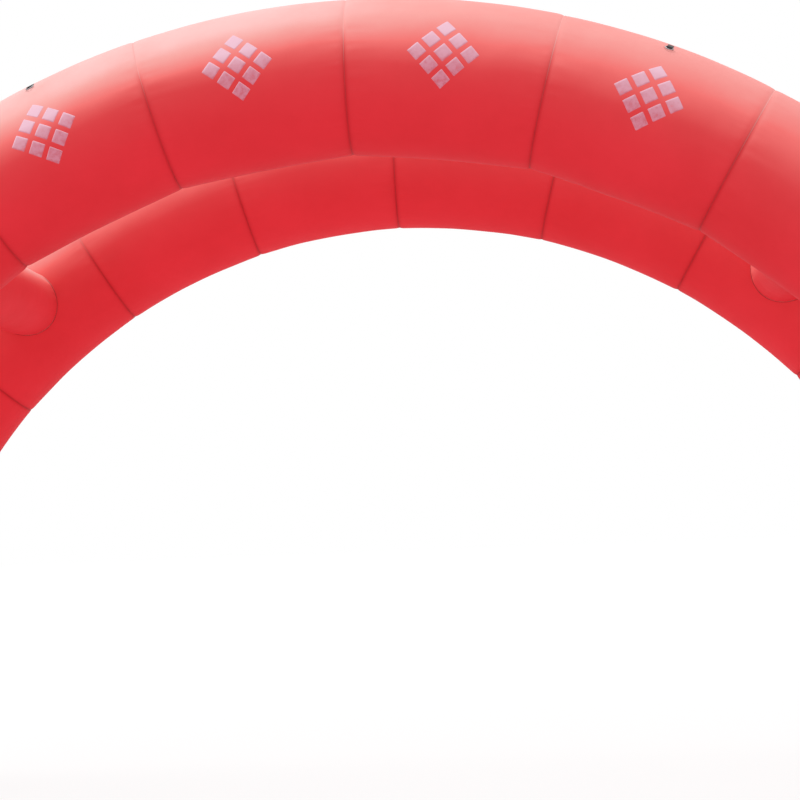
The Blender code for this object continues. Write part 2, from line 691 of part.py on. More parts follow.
red_cloth = material("red cloth", (0.72, 0.035, 0.05), 0.45)
base_cloth = material("base cloth", (0.35, 0.02, 0.03), 0.6)
webbing = material("webbing", (0.03, 0.03, 0.035), 0.8)
ring_steel = material("ring steel", (0.25, 0.25, 0.26), 0.35, 1.0)
zip_cloth = material("zip cloth", (0.12, 0.01, 0.015), 0.7)
blower_plastic = material("blower plastic", (0.05, 0.12, 0.35), 0.45)
impeller_plastic = material("impeller plastic", (0.03, 0.03, 0.03), 0.5)
motor_metal = material("motor metal", (0.35, 0.36, 0.37), 0.4, 1.0)
guard_steel = material("guard steel", (0.1, 0.1, 0.1), 0.4, 1.0)
switch_plastic = material("switch plastic", (0.02, 0.02, 0.02), 0.5)
rocker_plastic = material("rocker plastic", (0.5, 0.03, 0.02), 0.4)

panels()
foot_pans()
cross_tubes()
tethers()
deflation_zip()
for side_name in SIDE:
    blower(side_name)
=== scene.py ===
"""The looks of the inflatable double arch: cloth, seams, webbing, zip, blowers, light and camera.

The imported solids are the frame, and what is made here is fitted round them. Metres, +Z up.
"""

from functools import partialmethod
from math import atan2, ceil, cos, exp, hypot, pi, radians, sin, sqrt, tau

import bmesh
import bpy
from mathutils import Matrix, Vector
from mathutils.bvhtree import BVHTree
from mathutils.noise import noise as drift


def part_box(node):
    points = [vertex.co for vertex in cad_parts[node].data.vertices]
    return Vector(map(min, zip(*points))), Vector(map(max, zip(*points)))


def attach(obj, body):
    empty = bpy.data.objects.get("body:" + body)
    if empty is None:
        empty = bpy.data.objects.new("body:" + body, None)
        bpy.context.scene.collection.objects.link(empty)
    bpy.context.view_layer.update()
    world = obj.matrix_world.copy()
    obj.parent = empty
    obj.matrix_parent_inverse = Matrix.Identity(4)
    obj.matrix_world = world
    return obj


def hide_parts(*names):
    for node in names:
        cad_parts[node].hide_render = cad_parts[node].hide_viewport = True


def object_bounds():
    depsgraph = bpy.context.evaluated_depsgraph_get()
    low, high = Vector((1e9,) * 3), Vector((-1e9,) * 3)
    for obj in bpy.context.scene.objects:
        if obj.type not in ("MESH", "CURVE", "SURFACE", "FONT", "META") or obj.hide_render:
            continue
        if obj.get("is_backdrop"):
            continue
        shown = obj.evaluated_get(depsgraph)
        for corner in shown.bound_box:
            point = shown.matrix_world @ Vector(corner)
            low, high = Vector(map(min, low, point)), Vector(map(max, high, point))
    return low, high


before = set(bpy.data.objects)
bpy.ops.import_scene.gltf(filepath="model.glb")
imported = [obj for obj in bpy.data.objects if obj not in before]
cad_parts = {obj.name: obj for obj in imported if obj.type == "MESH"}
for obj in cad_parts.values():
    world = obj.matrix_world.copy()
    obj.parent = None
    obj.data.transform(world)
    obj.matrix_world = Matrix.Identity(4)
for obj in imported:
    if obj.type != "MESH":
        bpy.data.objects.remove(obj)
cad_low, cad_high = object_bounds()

# Camera
# The photograph was taken at eye height in front of the arch and a little right of its middle, looking
# slightly up and to the left, with the camera held almost level. It crops both legs away.
CAMERA_PLACE = (1.3606, -12.7628, 1.7778)
CAMERA_YAW = radians(-5.65)
CAMERA_PITCH = radians(4.16)
CAMERA_ROLL = radians(-2.13)
PHOTO_PIXELS = 800
FOCAL_PIXELS = 1870.61
SENSOR_WIDTH = 36
FAR_LIMIT = 1000


def placed(name, data):
    """A new object in the scene."""
    made = bpy.data.objects.new(name, data)
    bpy.context.scene.collection.objects.link(made)
    return made


camera_data = bpy.data.cameras.new("camera")
camera_data.sensor_width = SENSOR_WIDTH
camera_data.lens = FOCAL_PIXELS / PHOTO_PIXELS * SENSOR_WIDTH
camera_data.clip_end = FAR_LIMIT
camera = placed("camera", camera_data)
camera.matrix_world = (
    Matrix.Translation(CAMERA_PLACE)
    @ Matrix.Rotation(-CAMERA_YAW, 4, "Z")
    @ Matrix.Rotation(pi / 2 + CAMERA_PITCH, 4, "X")
    @ Matrix.Rotation(CAMERA_ROLL, 4, "Z")
)
bpy.context.scene.camera = camera
bpy.context.scene.view_settings.view_transform = "Standard"

# Cloth panels
# Each arch is sewn from mitred pieces of coated red nylon cloth, which the blower's air rounds into a tube.
# The cloth dips at each seam, pulls into short puckers beside it, and bellies out between the seams. The
# crown's colour is painted pale where the sun falls on it, a painted highlight.
PANEL_ANGLE = radians(15.6)
SEAM_LEAN = (0.052, -0.1)
SWELL = {"front": 0.012, "rear": 0.004}
BEND_SHARE = {"front": 0.7, "rear": 1.0}
TUBE_SIDES = 20
SEAM_DEPTH = 0.007
SEAM_WIDTH = 0.011
STITCH_ZONE = 0.02
# How often in a radian round the tube, how far stretched along it, and the seed
PUCKERS = (9, 0.8, 0)
FOLDS = (PUCKERS[0] / 2.3, 1.4, 7)
WAVES = (1.6, 1.2, 13)
PUCKER_HEIGHT = 0.011
PUCKER_REACH = 0.075
PUCKER_SIDE = 0.75
PUCKER_OUTSIDE_LOSS = 0.35
FOLD_SHARE = 0.6
FOLD_FADE = 0.4
WAVE_HEIGHT = 0.012
PANEL_ROWS = 45
PANEL_COLUMNS = 289
MERGE = 0.0002
# The rear arch's red is painted lighter than the front's, to make up for the shade that the front arch casts on it.
REDS = {
    "front": ((0.7, 0.027, 0.037, 1), (0.77, 0.031, 0.045, 1)),
    "rear": ((0.75, 0.031, 0.042, 1), (0.82, 0.037, 0.052, 1)),
}
# Painted shade in the seam dips, which fades out where sunlight is painted on.
RED_SEAM = (0.5, 0.013, 0.019, 1)
# Painted sunlight: the cloth's colours from the shade's edge to the palest crown, the sun's side, where the painted
# light is full, how it fades into shade and down the legs, and a painted glare left of the middle.
CORAL = (1, 0.2, 0.19, 1)
SALMON = (1, 0.42, 0.39, 1)
PALEST = (1, 0.57, 0.55, 1)
PALE_GAIN = 2.2
SEAM_PALE_AT = 0.85
SUN_SIDE = Vector((-0.3, 0.0, 0.954))
SHADE_LIMIT = -0.1
SUNLIT_LIMIT = 0.66
SHADE_FADE = (0.12, 0.25)
LEG_SHARE = 0.25
CROWN_HEIGHT = 4.0
CROWN_FADE = 2.2
GLARE_LEFT = 0.3
GLARE_REACH = 0.8
GLARE_LOSS = 0.04
SEAM_EVENING = 3
WEAVE_PITCH = 0.0016


def node(tree, kind, *fed, out=0, **settings):
    """Adds a node, feeds its sockets in order and returns one of its outputs. None leaves a socket as it is."""
    made = tree.nodes.new(kind)
    for setting, value in settings.items():
        setattr(made, setting, value)
    for socket, thing in zip(made.inputs, fed):
        source = getattr(thing, "socket", thing)
        if isinstance(source, bpy.types.NodeSocket):
            tree.links.new(source, socket)
        elif thing is not None:
            socket.default_value = thing
    return made.outputs[out]


class Number:
    """A number in a node tree, so that a formula can be written as a sum."""

    def __init__(self, tree, socket):
        self.tree = tree
        self.socket = socket

    def step(self, operation, *others):
        return Number(self.tree, node(self.tree, "ShaderNodeMath", self, *others, operation=operation))

    __add__ = partialmethod(step, "ADD")
    __sub__ = partialmethod(step, "SUBTRACT")
    __mul__ = partialmethod(step, "MULTIPLY")
    __truediv__ = partialmethod(step, "DIVIDE")
    __neg__ = partialmethod(step, "MULTIPLY", -1)


def new_tree(name, *numbers, **inputs):
    """A Geometry Nodes tree and its inputs: sizes that are numbers, and others by their kind."""
    tree = bpy.data.node_groups.new(name, "GeometryNodeTree")
    inputs = {**dict.fromkeys(numbers, "Float"), **inputs}
    for label, kind in inputs.items():
        tree.interface.new_socket(label, in_out="INPUT", socket_type=f"NodeSocket{kind}")
    tree.interface.new_socket("Shape", in_out="OUTPUT", socket_type="NodeSocketGeometry")
    entry = tree.nodes.new("NodeGroupInput")
    return tree, {label: Number(tree, entry.outputs[label]) for label in inputs}


def close_tree(tree, shape, finish):
    """Realizes the instances, gives them their material and ends the tree."""
    real = node(tree, "GeometryNodeRealizeInstances", shape)
    smooth = node(tree, "GeometryNodeSetShadeSmooth", real)
    dressed = node(tree, "GeometryNodeSetMaterial", smooth, None, finish)
    tree.links.new(dressed, tree.nodes.new("NodeGroupOutput").inputs[0])
    return tree


def baked(holder):
    """The plain mesh of an object with its modifiers, which takes the object's place."""
    mesh = bpy.data.meshes.new_from_object(holder.evaluated_get(bpy.context.evaluated_depsgraph_get()))
    bpy.data.objects.remove(holder)
    return mesh


def in_finish(mesh, finish):
    """The mesh in one material alone."""
    mesh.materials.clear()
    mesh.materials.append(finish)
    return mesh


def grown(tree, path=(), cyclic=True, **sizes):
    """The plain mesh that a tree makes with these sizes, along a path of places if it takes one."""
    line = bpy.data.meshes.new(tree.name)
    line.from_pydata(path, [(at, (at + 1) % len(path)) for at in range(len(path) - (not cyclic))], [])
    holder = placed(tree.name, line)
    modifier = holder.modifiers.new("shape", "NODES")
    modifier.node_group = tree
    for item in tree.interface.items_tree:
        if item.name in sizes:
            modifier[item.identifier] = sizes[item.name]
    mesh = baked(holder)
    in_finish(mesh, next(material for material in mesh.materials if material))
    mesh.polygons.foreach_set("material_index", [0] * len(mesh.polygons))
    return mesh


def show(name, mesh, body, *stands_for, slot=None, at=Matrix()):
    """A finished piece with its object at the origin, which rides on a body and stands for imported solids."""
    mesh.transform(at)
    mesh.name = name
    piece = placed(name, mesh)
    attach(piece, body)
    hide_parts(*stands_for)


def new_finish(name, roughness, **sockets):
    """A material, with what is the same all over it set on the shader's own sockets."""
    made = bpy.data.materials.new(name)
    made.use_nodes = True
    shader = made.node_tree.nodes["Principled BSDF"]
    shader.inputs["Roughness"].default_value = roughness
    for label, value in sockets.items():
        shader.inputs[label.replace("_", " ")].default_value = value
    return made, made.node_tree, shader


def noise(tree, scale, detail=2, roughness=0.5):
    """Noise by the place on the object."""
    place = node(tree, "ShaderNodeTexCoord", out=3)
    return Number(tree, node(tree, "ShaderNodeTexNoise", place, None, scale, detail, roughness))


def marked(tree, name):
    return Number(tree, node(tree, "ShaderNodeAttribute", attribute_name=name, out=2))


def colours(tree, amount, *stops):
    """Turns a number from 0 to 1 into a colour along the stops."""
    made = tree.nodes.new("ShaderNodeValToRGB")
    ramp = made.color_ramp
    while len(ramp.elements) < len(stops):
        ramp.elements.new(0.5)
    for element, (position, colour) in zip(ramp.elements, stops):
        element.position = position
        element.color = colour
    tree.links.new(amount.socket, made.inputs[0])
    return made.outputs[0]


def between(tree, amount, low, high):
    """Spreads a number from 0 to 1 between two others."""
    return Number(tree, node(tree, "ShaderNodeMapRange", amount, 0, 1, low, high))


def rough(tree, shader, amount, low, high):
    tree.links.new(between(tree, amount, low, high).socket, shader.inputs["Roughness"])


def bumped(tree, shader, height, distance, strength, over=None):
    normal = node(tree, "ShaderNodeBump", strength, distance, 1, height, over)
    tree.links.new(normal, shader.inputs["Normal"])
    return normal


def mixed(tree, amount, first, second):
    return node(tree, "ShaderNodeMix", amount, None, None, None, None, None, first, second, out=2, data_type="RGBA")


def cloth_weave(tree, pitch):
    """Plain weave: over and under in both directions, on a map in metres."""
    uv = node(tree, "ShaderNodeUVMap", uv_map="cloth")
    apart = node(tree, "ShaderNodeSeparateXYZ", uv).node
    warp, weft = ((Number(tree, apart.outputs[at]) * (tau / pitch)).step("SINE") for at in (0, 1))
    return warp * weft


def eased(share):
    """A share from 0 to 1, kept within them, that leaves and arrives gently."""
    share = min(1, max(0, share))
    return share * share * (3 - 2 * share)


def paint_sunlight(mesh, y=None):
    """Marks the sun painted into each place's colour: most on the crown, a little left of its middle, least on the
    legs.

    On an arch at y, a seam gets as much as the tube round it, whichever way its dip faces.
    """
    seam = mesh.attributes.get("seam")
    values = []
    for vert, normal in zip(mesh.vertices, mesh.vertex_normals):
        facing = normal.vector
        if y is not None:
            turn = atan2(vert.co.x, vert.co.z - foot_height)
            middle = Vector((arch_radius * sin(turn), y, foot_height + arch_radius * cos(turn)))
            nearness = min(1, seam.data[vert.index].value * SEAM_EVENING) if seam else 1
            facing = facing.lerp((vert.co - middle).normalized(), nearness).normalized()
        towards = facing.dot(SUN_SIDE)
        height = LEG_SHARE + (1 - LEG_SHARE) * eased((vert.co.z - CROWN_HEIGHT) / CROWN_FADE + 1)
        share = eased((towards - SHADE_LIMIT) / (SUNLIT_LIMIT - SHADE_LIMIT)) * height
        # A painted glare left of the middle, less painted light to the right, and a little painted light fading into
        # the shade.
        glare = GLARE_LEFT * eased(0.5 - vert.co.x / GLARE_REACH) - GLARE_LOSS * abs(vert.co.x)
        fade = SHADE_FADE[0] * min(1, exp(towards / SHADE_FADE[1])) * height
        values.append(share * (1 + share * glare) + (1 - share) * fade)
    mesh.attributes.new("sunlit", "FLOAT", "POINT").data.foreach_set("value", values)
    return mesh


def red_cloth(arch_name):
    """Coated cloth with paler and deeper patches, with a painted highlight where the sun falls and painted shade in
    the seam dips.
    """
    deep, light = REDS[arch_name]
    made, tree, shader = new_finish(f"{arch_name}_red_cloth", 0.5, Specular_IOR_Level=0.03)
    sunlit = marked(tree, "sunlit")
    mottled = sunlit * between(tree, noise(tree, 2.6, 5, 0.65), 0.8, 1.1)
    body_red = colours(tree, noise(tree, 1.3, 4, 0.6), (0.3, deep), (0.7, light))
    full = 1 + GLARE_LEFT
    pale = colours(tree, mottled / full, (0.45 / full, CORAL), (0.95 / full, SALMON), (0.95, PALEST))
    sunlit_colour = mixed(tree, between(tree, mottled * PALE_GAIN, 0, 1), body_red, pale)
    # Painted shade in the seam dips, less where sunlight is painted.
    seam_shade = between(tree, marked(tree, "seam") * (-sunlit + SEAM_PALE_AT), 0, 1)
    tree.links.new(mixed(tree, seam_shade, sunlit_colour, RED_SEAM), shader.inputs["Base Color"])
    rough(tree, shader, noise(tree, 9, 6, 0.65), 0.48, 0.66)
    creases = bumped(tree, shader, noise(tree, 14, 5, 0.55), 0.004, 0.35)
    bumped(tree, shader, cloth_weave(tree, WEAVE_PITCH), 0.00025, 0.5, creases)
    return made


def panel_tree():
    tree, size = new_tree(
        "bent cloth panel",
        *("Arch_radius", "Half_angle", "Tube_radius", "Bend_share", "Swell", "Seam_depth", "Seam_width"),
        *("Pucker_height", "Pucker_reach", "Wave_height", "Upper_lean", "Lower_lean", "Seed"),
        Rows="Int",
        Columns="Int",
        Cloth="Material",
    )
    grid = node(tree, "GeometryNodeMeshGrid", 2, tau, size["Rows"], size["Columns"])
    apart = node(tree, "ShaderNodeSeparateXYZ", node(tree, "GeometryNodeInputPosition")).node
    share = (Number(tree, apart.outputs[0]) * (pi / 2)).step("SINE")
    around = Number(tree, apart.outputs[1])
    cosine, sine = around.step("COSINE"), around.step("SINE")
    lean = size["Upper_lean"] * (share + 1) / 2 + size["Lower_lean"] * (-share + 1) / 2
    shift = lean * sine * size["Tube_radius"] / (size["Arch_radius"] + size["Tube_radius"] * cosine)
    here = share * size["Half_angle"] - shift
    chord = size["Half_angle"].step("COSINE") / here.step("COSINE")
    centre = size["Arch_radius"] * ((chord - 1) * (-size["Bend_share"] + 1) + 1)
    length = (size["Arch_radius"] + size["Tube_radius"] * cosine) * size["Half_angle"]
    edge = (-share.step("ABSOLUTE") + 1) * length
    groove = (-edge / size["Seam_width"]).step("EXPONENT")
    free = -(-(edge / STITCH_ZONE).step("POWER", 2)).step("EXPONENT") + 1

    def ripples(frequency, stretch, seed):
        spot = node(tree, "ShaderNodeCombineXYZ", cosine * frequency, sine * frequency, share * stretch)
        made = node(tree, "ShaderNodeTexNoise", spot, size["Seed"] + seed, 1, 1, noise_dimensions="4D")
        return Number(tree, made) - 0.5

    fade = (-edge / size["Pucker_reach"]).step("EXPONENT")
    inside = -cosine * PUCKER_OUTSIDE_LOSS + PUCKER_SIDE
    tight = ripples(*PUCKERS) * fade * size["Pucker_height"] * inside
    drawn = ripples(*FOLDS) * (fade.step("POWER", FOLD_FADE)) * size["Pucker_height"]
    waves = ripples(*WAVES) * size["Wave_height"]
    belly = (-share * share + 1) * size["Swell"]
    relief = (tight + drawn * FOLD_SHARE + waves) * free
    section = size["Tube_radius"] + belly - groove * size["Seam_depth"] + relief
    far = centre + section * cosine
    spot = node(tree, "ShaderNodeCombineXYZ", here.step("SINE") * far, section * sine, here.step("COSINE") * far)
    flat = node(tree, "ShaderNodeCombineXYZ", around * size["Tube_radius"], here * size["Arch_radius"])
    store = "GeometryNodeStoreNamedAttribute"
    mapped = node(tree, store, grid, None, "cloth", flat, data_type="FLOAT2", domain="CORNER")
    dipped = node(tree, store, mapped, None, "seam", groove)
    bent = node(tree, "GeometryNodeSetPosition", dipped, None, spot)
    return close_tree(tree, node(tree, "GeometryNodeMergeByDistance", bent, None, MERGE), size["Cloth"])


def in_arch(y, angle):
    """At the arch's centre, turned so that +Z points at the ring angle, which is 0 at the top."""
    return Matrix.Translation((0, y, foot_height)) @ Matrix.Rotation(angle, 4, "Y")


def seam_lean(angle):
    """How far a seam is turned about the line from the arch's centre. The lowest seams are straight."""
    return cos(angle) ** 2 * (SEAM_LEAN[0] + SEAM_LEAN[1] * sin(angle))


foot_low, foot_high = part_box("rear_foot_right")
arch_radius = (foot_low.x + foot_high.x) / 2
foot_height = foot_high.z
arch_y = {"front": -(foot_low.y + foot_high.y) / 2, "rear": (foot_low.y + foot_high.y) / 2}
side_sign = {"left": -1, "right": 1}
cad_radius = (foot_high.y - foot_low.y) / 2
tube_radius = cad_radius * (1 + cos(pi / TUBE_SIDES)) / 2
seams = [step * PANEL_ANGLE for step in range(ceil(pi / 2 / PANEL_ANGLE))] + [pi / 2]
panel_cloth = {arch_name: red_cloth(arch_name) for arch_name in arch_y}
panel_shape = panel_tree()
panel_meshes = {}
for arch_name, y in arch_y.items():
    for side, sign in side_sign.items():
        for number, (upper, lower) in enumerate(zip(seams, seams[1:]), 1):
            left, right = sorted((sign * upper, sign * lower))
            panel = grown(
                panel_shape,
                Arch_radius=arch_radius,
                Half_angle=(lower - upper) / 2,
                Tube_radius=tube_radius,
                Bend_share=BEND_SHARE[arch_name],
                Swell=SWELL[arch_name],
                Seam_depth=SEAM_DEPTH,
                Seam_width=SEAM_WIDTH,
                Pucker_height=PUCKER_HEIGHT,
                Pucker_reach=PUCKER_REACH,
                Wave_height=WAVE_HEIGHT,
                Upper_lean=seam_lean(right),
                Lower_lean=seam_lean(left),
                Seed=float(len(panel_meshes)),
                Rows=PANEL_ROWS,
                Columns=PANEL_COLUMNS,
                Cloth=panel_cloth[arch_name],
            )
            panel.transform(in_arch(y, sign * (upper + lower) / 2))
            name = f"{arch_name}_panel_{side}_{number}"
            # Sunlight is painted into the panel's colour.
            panel_meshes[name] = paint_sunlight(panel, y)
            show(f"{name}_cloth", panel, "arch", name, slot="red_cloth")

# Seam tape
# A narrow dark tape covers each seam between two panels. It lies in the dip of the seam, and a row of
# stitches runs down each side of it.
TAPE_HALF_WIDTH = 0.004
TAPE_HALF_HEIGHT = 0.0024
TAPE_STEPS = 240
TAPE_RIB = 0.0012
STITCH_LENGTH = 0.006
STITCH_WIDTH = 0.0015
STITCH_PITCH = 0.011
STITCH_OFFSET = 0.0078
THREAD_RIB = 0.0008
TAPE_DEEP = (0.44, 0.013, 0.02, 1)
TAPE_RED = (0.54, 0.018, 0.025, 1)
# Painted sunlight: the tape's colour where the sun falls on it
TAPE_PALE = (1, 0.45, 0.42, 1)
THREAD_RED = (0.62, 0.018, 0.026, 1)
THREAD_DEEP = (0.45, 0.012, 0.018, 1)
# Painted sunlight: the thread's colour where the sun falls on it
THREAD_PALE = (1, 0.47, 0.44, 1)
WOVEN_PALE_GAIN = 1.2


def woven_finish(name, pitch, deep, light, roughness, pale=None):
    """Ribbed tape or thread, seen by its place in the world, as it has no map. Sunlight is painted on as a paler
    colour.
    """
    made, tree, shader = new_finish(name, roughness, Specular_IOR_Level=0.15)
    grain = noise(tree, 1 / pitch, 2)
    shade = colours(tree, noise(tree, 14, 4, 0.6), (0.35, deep), (0.7, light))
    sunlit_colour = mixed(tree, marked(tree, "sunlit") * WOVEN_PALE_GAIN, shade, pale or light)
    tree.links.new(sunlit_colour, shader.inputs["Base Color"])
    rough(tree, shader, grain, roughness - 0.1, roughness + 0.15)
    bumped(tree, shader, grain, pitch / 4, 0.5)
    return made


def tape_tree():
    """A band with an oval section along a path."""
    tree, size = new_tree(
        "tape", Path="Geometry", Half_width="Float", Half_height="Float", Sides="Int", Finish="Material"
    )
    line = node(tree, "GeometryNodeMeshToCurve", size["Path"])
    ring = node(tree, "GeometryNodeCurvePrimitiveCircle", size["Sides"], None, None, None, 1)
    stretch = node(tree, "ShaderNodeCombineXYZ", size["Half_height"], size["Half_width"], 1)
    oval = node(tree, "GeometryNodeTransform", ring, None, None, stretch)
    swept = node(tree, "GeometryNodeCurveToMesh", line, oval)
    swept.node.inputs["Fill Caps"].default_value = True
    return close_tree(tree, swept, size["Finish"])


def spread_tree(tree, places, shape, towards, axis, finish):
    """Ends a tree with its shape at each place, turned towards a direction."""
    turn = node(tree, "FunctionNodeAlignRotationToVector", None, None, towards, axis=axis)
    return close_tree(tree, node(tree, "GeometryNodeInstanceOnPoints", places, None, shape, None, None, turn), finish)


def stitch_tree():
    """Small rounded stitches at even steps along a path."""
    tree, size = new_tree(
        "stitches", Path="Geometry", Pitch="Float", Length="Float", Width="Float", Height="Float", Finish="Material"
    )
    line = node(tree, "GeometryNodeMeshToCurve", size["Path"])
    spaced = node(tree, "GeometryNodeResampleCurve", line, None, None, size["Pitch"], mode="LENGTH")
    bead = node(tree, "GeometryNodeMeshUVSphere", 4, 3, 0.5)
    stretch = node(tree, "ShaderNodeCombineXYZ", size["Height"], size["Width"], size["Length"])
    stitch = node(tree, "GeometryNodeTransform", bead, None, None, stretch)
    return spread_tree(tree, spaced, stitch, node(tree, "GeometryNodeInputTangent"), "Z", size["Finish"])


def circle(radius, height=0, steps=TAPE_STEPS):
    return [(radius * cos(tau * at / steps), radius * sin(tau * at / steps), height) for at in range(steps)]


def stitched(path, finish=None, cyclic=True, pitch=STITCH_PITCH, length=STITCH_LENGTH, width=STITCH_WIDTH, height=0):
    """A row of stitches, as high as they are wide where no height is given."""
    sizes = {"Pitch": pitch, "Length": length, "Width": width, "Height": height or width}
    return grown(stitch_shape, path, cyclic, **sizes, Finish=finish or thread)


def taped(path, half_width, half_height, finish, cyclic=True, sides=12):
    sizes = {"Half_width": half_width, "Half_height": half_height, "Sides": sides}
    return grown(tape_shape, path, cyclic, **sizes, Finish=finish)


def plain_mesh(bm, finish):
    """The finished mesh in one material."""
    mesh = bpy.data.meshes.new("plain")
    bm.to_mesh(mesh)
    bm.free()
    return in_finish(mesh, finish)


def joined(meshes):
    """One mesh of several that share a material."""
    bm = bmesh.new()
    for mesh in meshes:
        bm.from_mesh(mesh)
    return plain_mesh(bm, meshes[0].materials[0])


seam_tape = woven_finish("seam_tape", TAPE_RIB, TAPE_DEEP, TAPE_RED, 0.65, TAPE_PALE)
thread = woven_finish("thread", THREAD_RIB, THREAD_DEEP, THREAD_RED, 0.6, THREAD_PALE)
tape_shape, stitch_shape = tape_tree(), stitch_tree()
row_radius = tube_radius - SEAM_DEPTH * exp(-STITCH_OFFSET / SEAM_WIDTH)
for arch_name, y in arch_y.items():
    tapes, rows = [], []
    for angle in sorted({sign * seam for seam in seams for sign in side_sign.values()}):
        place = in_arch(y, angle) @ Matrix.Translation((0, 0, arch_radius))
        place = place @ Matrix.Rotation(seam_lean(angle), 4, "Z") @ Matrix.Rotation(pi / 2, 4, "Y")
        tapes.append(taped(circle(tube_radius - SEAM_DEPTH), TAPE_HALF_WIDTH, TAPE_HALF_HEIGHT, seam_tape))
        tapes[-1].transform(place)
        for offset in (-STITCH_OFFSET, STITCH_OFFSET):
            rows.append(stitched(circle(row_radius, offset)))
            rows[-1].transform(place)
    # The tape and stitches are painted paler where the sun falls on them.
    show(f"{arch_name}_seam_tape", paint_sunlight(joined(tapes), y), "arch")
    show(f"{arch_name}_seam_stitches", paint_sunlight(joined(rows), y), "arch")

# Cross tubes
# Two short cloth tubes hold the arches apart and let the air through. Each is cut to the curve of both arches
# and sewn to them all round, so the cloth creases where it meets the seam.
CROSS_ANGLE = PANEL_ANGLE * 2.5
CROSS_SHIFT = {"left": 0.009, "right": 0.0}
CROSS_SWELL = 0.007
CROSS_ROWS = 96
CROSS_COLUMNS = 144
CROSS_CREASE = 0.006
CROSS_CREASES = 9
CROSS_CREASE_REACH = 0.12
CROSS_WAVE = 0.004
CROSS_WAVES = 2
CROSS_WAVE_START = 0.1
ROW_OFFSET = STITCH_OFFSET * 1.3


def panel_side(arch_name, middle, half, x, z):
    """How far a panel's cloth lies from its arch's middle plane, at a place seen from the front."""
    here = atan2(x, z - foot_height) - middle
    bend = BEND_SHARE[arch_name]
    centre = arch_radius * (bend + (1 - bend) * cos(half) / cos(here))
    section = tube_radius + SWELL[arch_name] * (1 - (here / half) ** 2)
    return sqrt(section**2 - (hypot(x, z - foot_height) - centre) ** 2)


def turn_outward(bm, middle):
    """Turns all faces over if they look at the middle."""
    bm.normal_update()
    if sum((face.calc_center_median() - middle).dot(face.normal) * face.calc_area() for face in bm.faces) < 0:
        bmesh.ops.reverse_faces(bm, faces=bm.faces)


def skin(rows, columns, spot, finish, middle, flat=lambda along, around: (along, around)):
    """A smooth tube of places for each share of the rows and columns. A cloth's map is in metres."""
    bm = bmesh.new()
    layer = bm.loops.layers.uv.new("cloth")
    grid = [[bm.verts.new(spot(row / rows, at / columns)) for at in range(columns)] for row in range(rows + 1)]
    for row in range(rows):
        for column in range(columns):
            steps = [(row, column), (row, column + 1), (row + 1, column + 1), (row + 1, column)]
            face = bm.faces.new([grid[down][across % columns] for down, across in steps])
            face.smooth = True
            for loop, (down, across) in zip(face.loops, steps):
                loop[layer].uv = flat(down / rows, across / columns)
    bmesh.ops.remove_doubles(bm, verts=bm.verts, dist=MERGE / 10)
    turn_outward(bm, middle)
    return plain_mesh(bm, finish)


def wander(count, turn, along):
    """Slow drift round and along a tube, from -1 to 1."""
    return drift(Vector((count * sin(turn), count * cos(turn), along)))


def sewn_on(arch_name, angle, half, centre, radius, inward, steps):
    """The tape and the stitches where a round tube is sewn to an arch."""
    edge, row = [], []
    for x, z, _ in circle(radius, steps=steps):
        reach = panel_side(arch_name, angle, half, centre.x + x, centre.z + z)
        edge.append(Vector((centre.x + x, arch_y[arch_name] + inward * reach, centre.z + z)))
        row.append(edge[-1] + Vector((0, inward * ROW_OFFSET, 0)))
    return taped(edge, TAPE_HALF_WIDTH, TAPE_HALF_WIDTH, seam_tape), stitched(row)


cross_low, cross_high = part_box("cross_tube_right")
cross_radius = (cross_high.z - cross_low.z) / 2
for side, sign in side_sign.items():
    angle, half = sign * CROSS_ANGLE, PANEL_ANGLE / 2
    place = angle + CROSS_SHIFT[side]
    middle = Vector((arch_radius * sin(place), 0, foot_height + arch_radius * cos(place)))

    def cross_spot(along, around):
        turn = tau * around
        x, z = middle.x + cross_radius * sin(turn), middle.z + cross_radius * cos(turn)
        start = arch_y["front"] + panel_side("front", angle, half, x, z)
        end = arch_y["rear"] - panel_side("rear", angle, half, x, z)
        share = (1 - cos(pi * along)) / 2
        y = start + (end - start) * share
        edge = min(y - start, end - y)
        crease = wander(CROSS_CREASES, turn, 1.5 * y + 7 * sign) * CROSS_CREASE
        crease *= exp(-edge / CROSS_CREASE_REACH) * (1 - exp(-((edge / STITCH_ZONE) ** 2)))
        wave = wander(CROSS_WAVES, turn, y + 3 * sign) * CROSS_WAVE * min(1, edge / CROSS_WAVE_START)
        grown_by = CROSS_SWELL * (1 - (2 * share - 1) ** 4) + crease + wave
        radius = cross_radius - SEAM_DEPTH / 2 * exp(-edge / SEAM_WIDTH) + grown_by
        return Vector((middle.x + radius * sin(turn), y, middle.z + radius * cos(turn)))

    def cross_flat(along, around):
        return tau * around * cross_radius, along * (arch_y["rear"] - arch_y["front"])

    # The tube, its tape and its stitches get painted sunlight in their colour.
    tube = paint_sunlight(skin(CROSS_ROWS, CROSS_COLUMNS, cross_spot, panel_cloth["rear"], middle, cross_flat))
    show(f"cross_tube_{side}_cloth", tube, "arch", f"cross_tube_{side}", slot="red_cloth")
    tapes, rows = [], []
    for arch_name, inward in (("front", 1), ("rear", -1)):
        tape, row = sewn_on(arch_name, angle, half, middle, cross_radius, inward, CROSS_COLUMNS)
        tapes.append(tape)
        rows.append(row)
    show(f"cross_tube_{side}_seam_tape", paint_sunlight(joined(tapes)), "arch")
    show(f"cross_tube_{side}_stitches", paint_sunlight(joined(rows)), "arch")

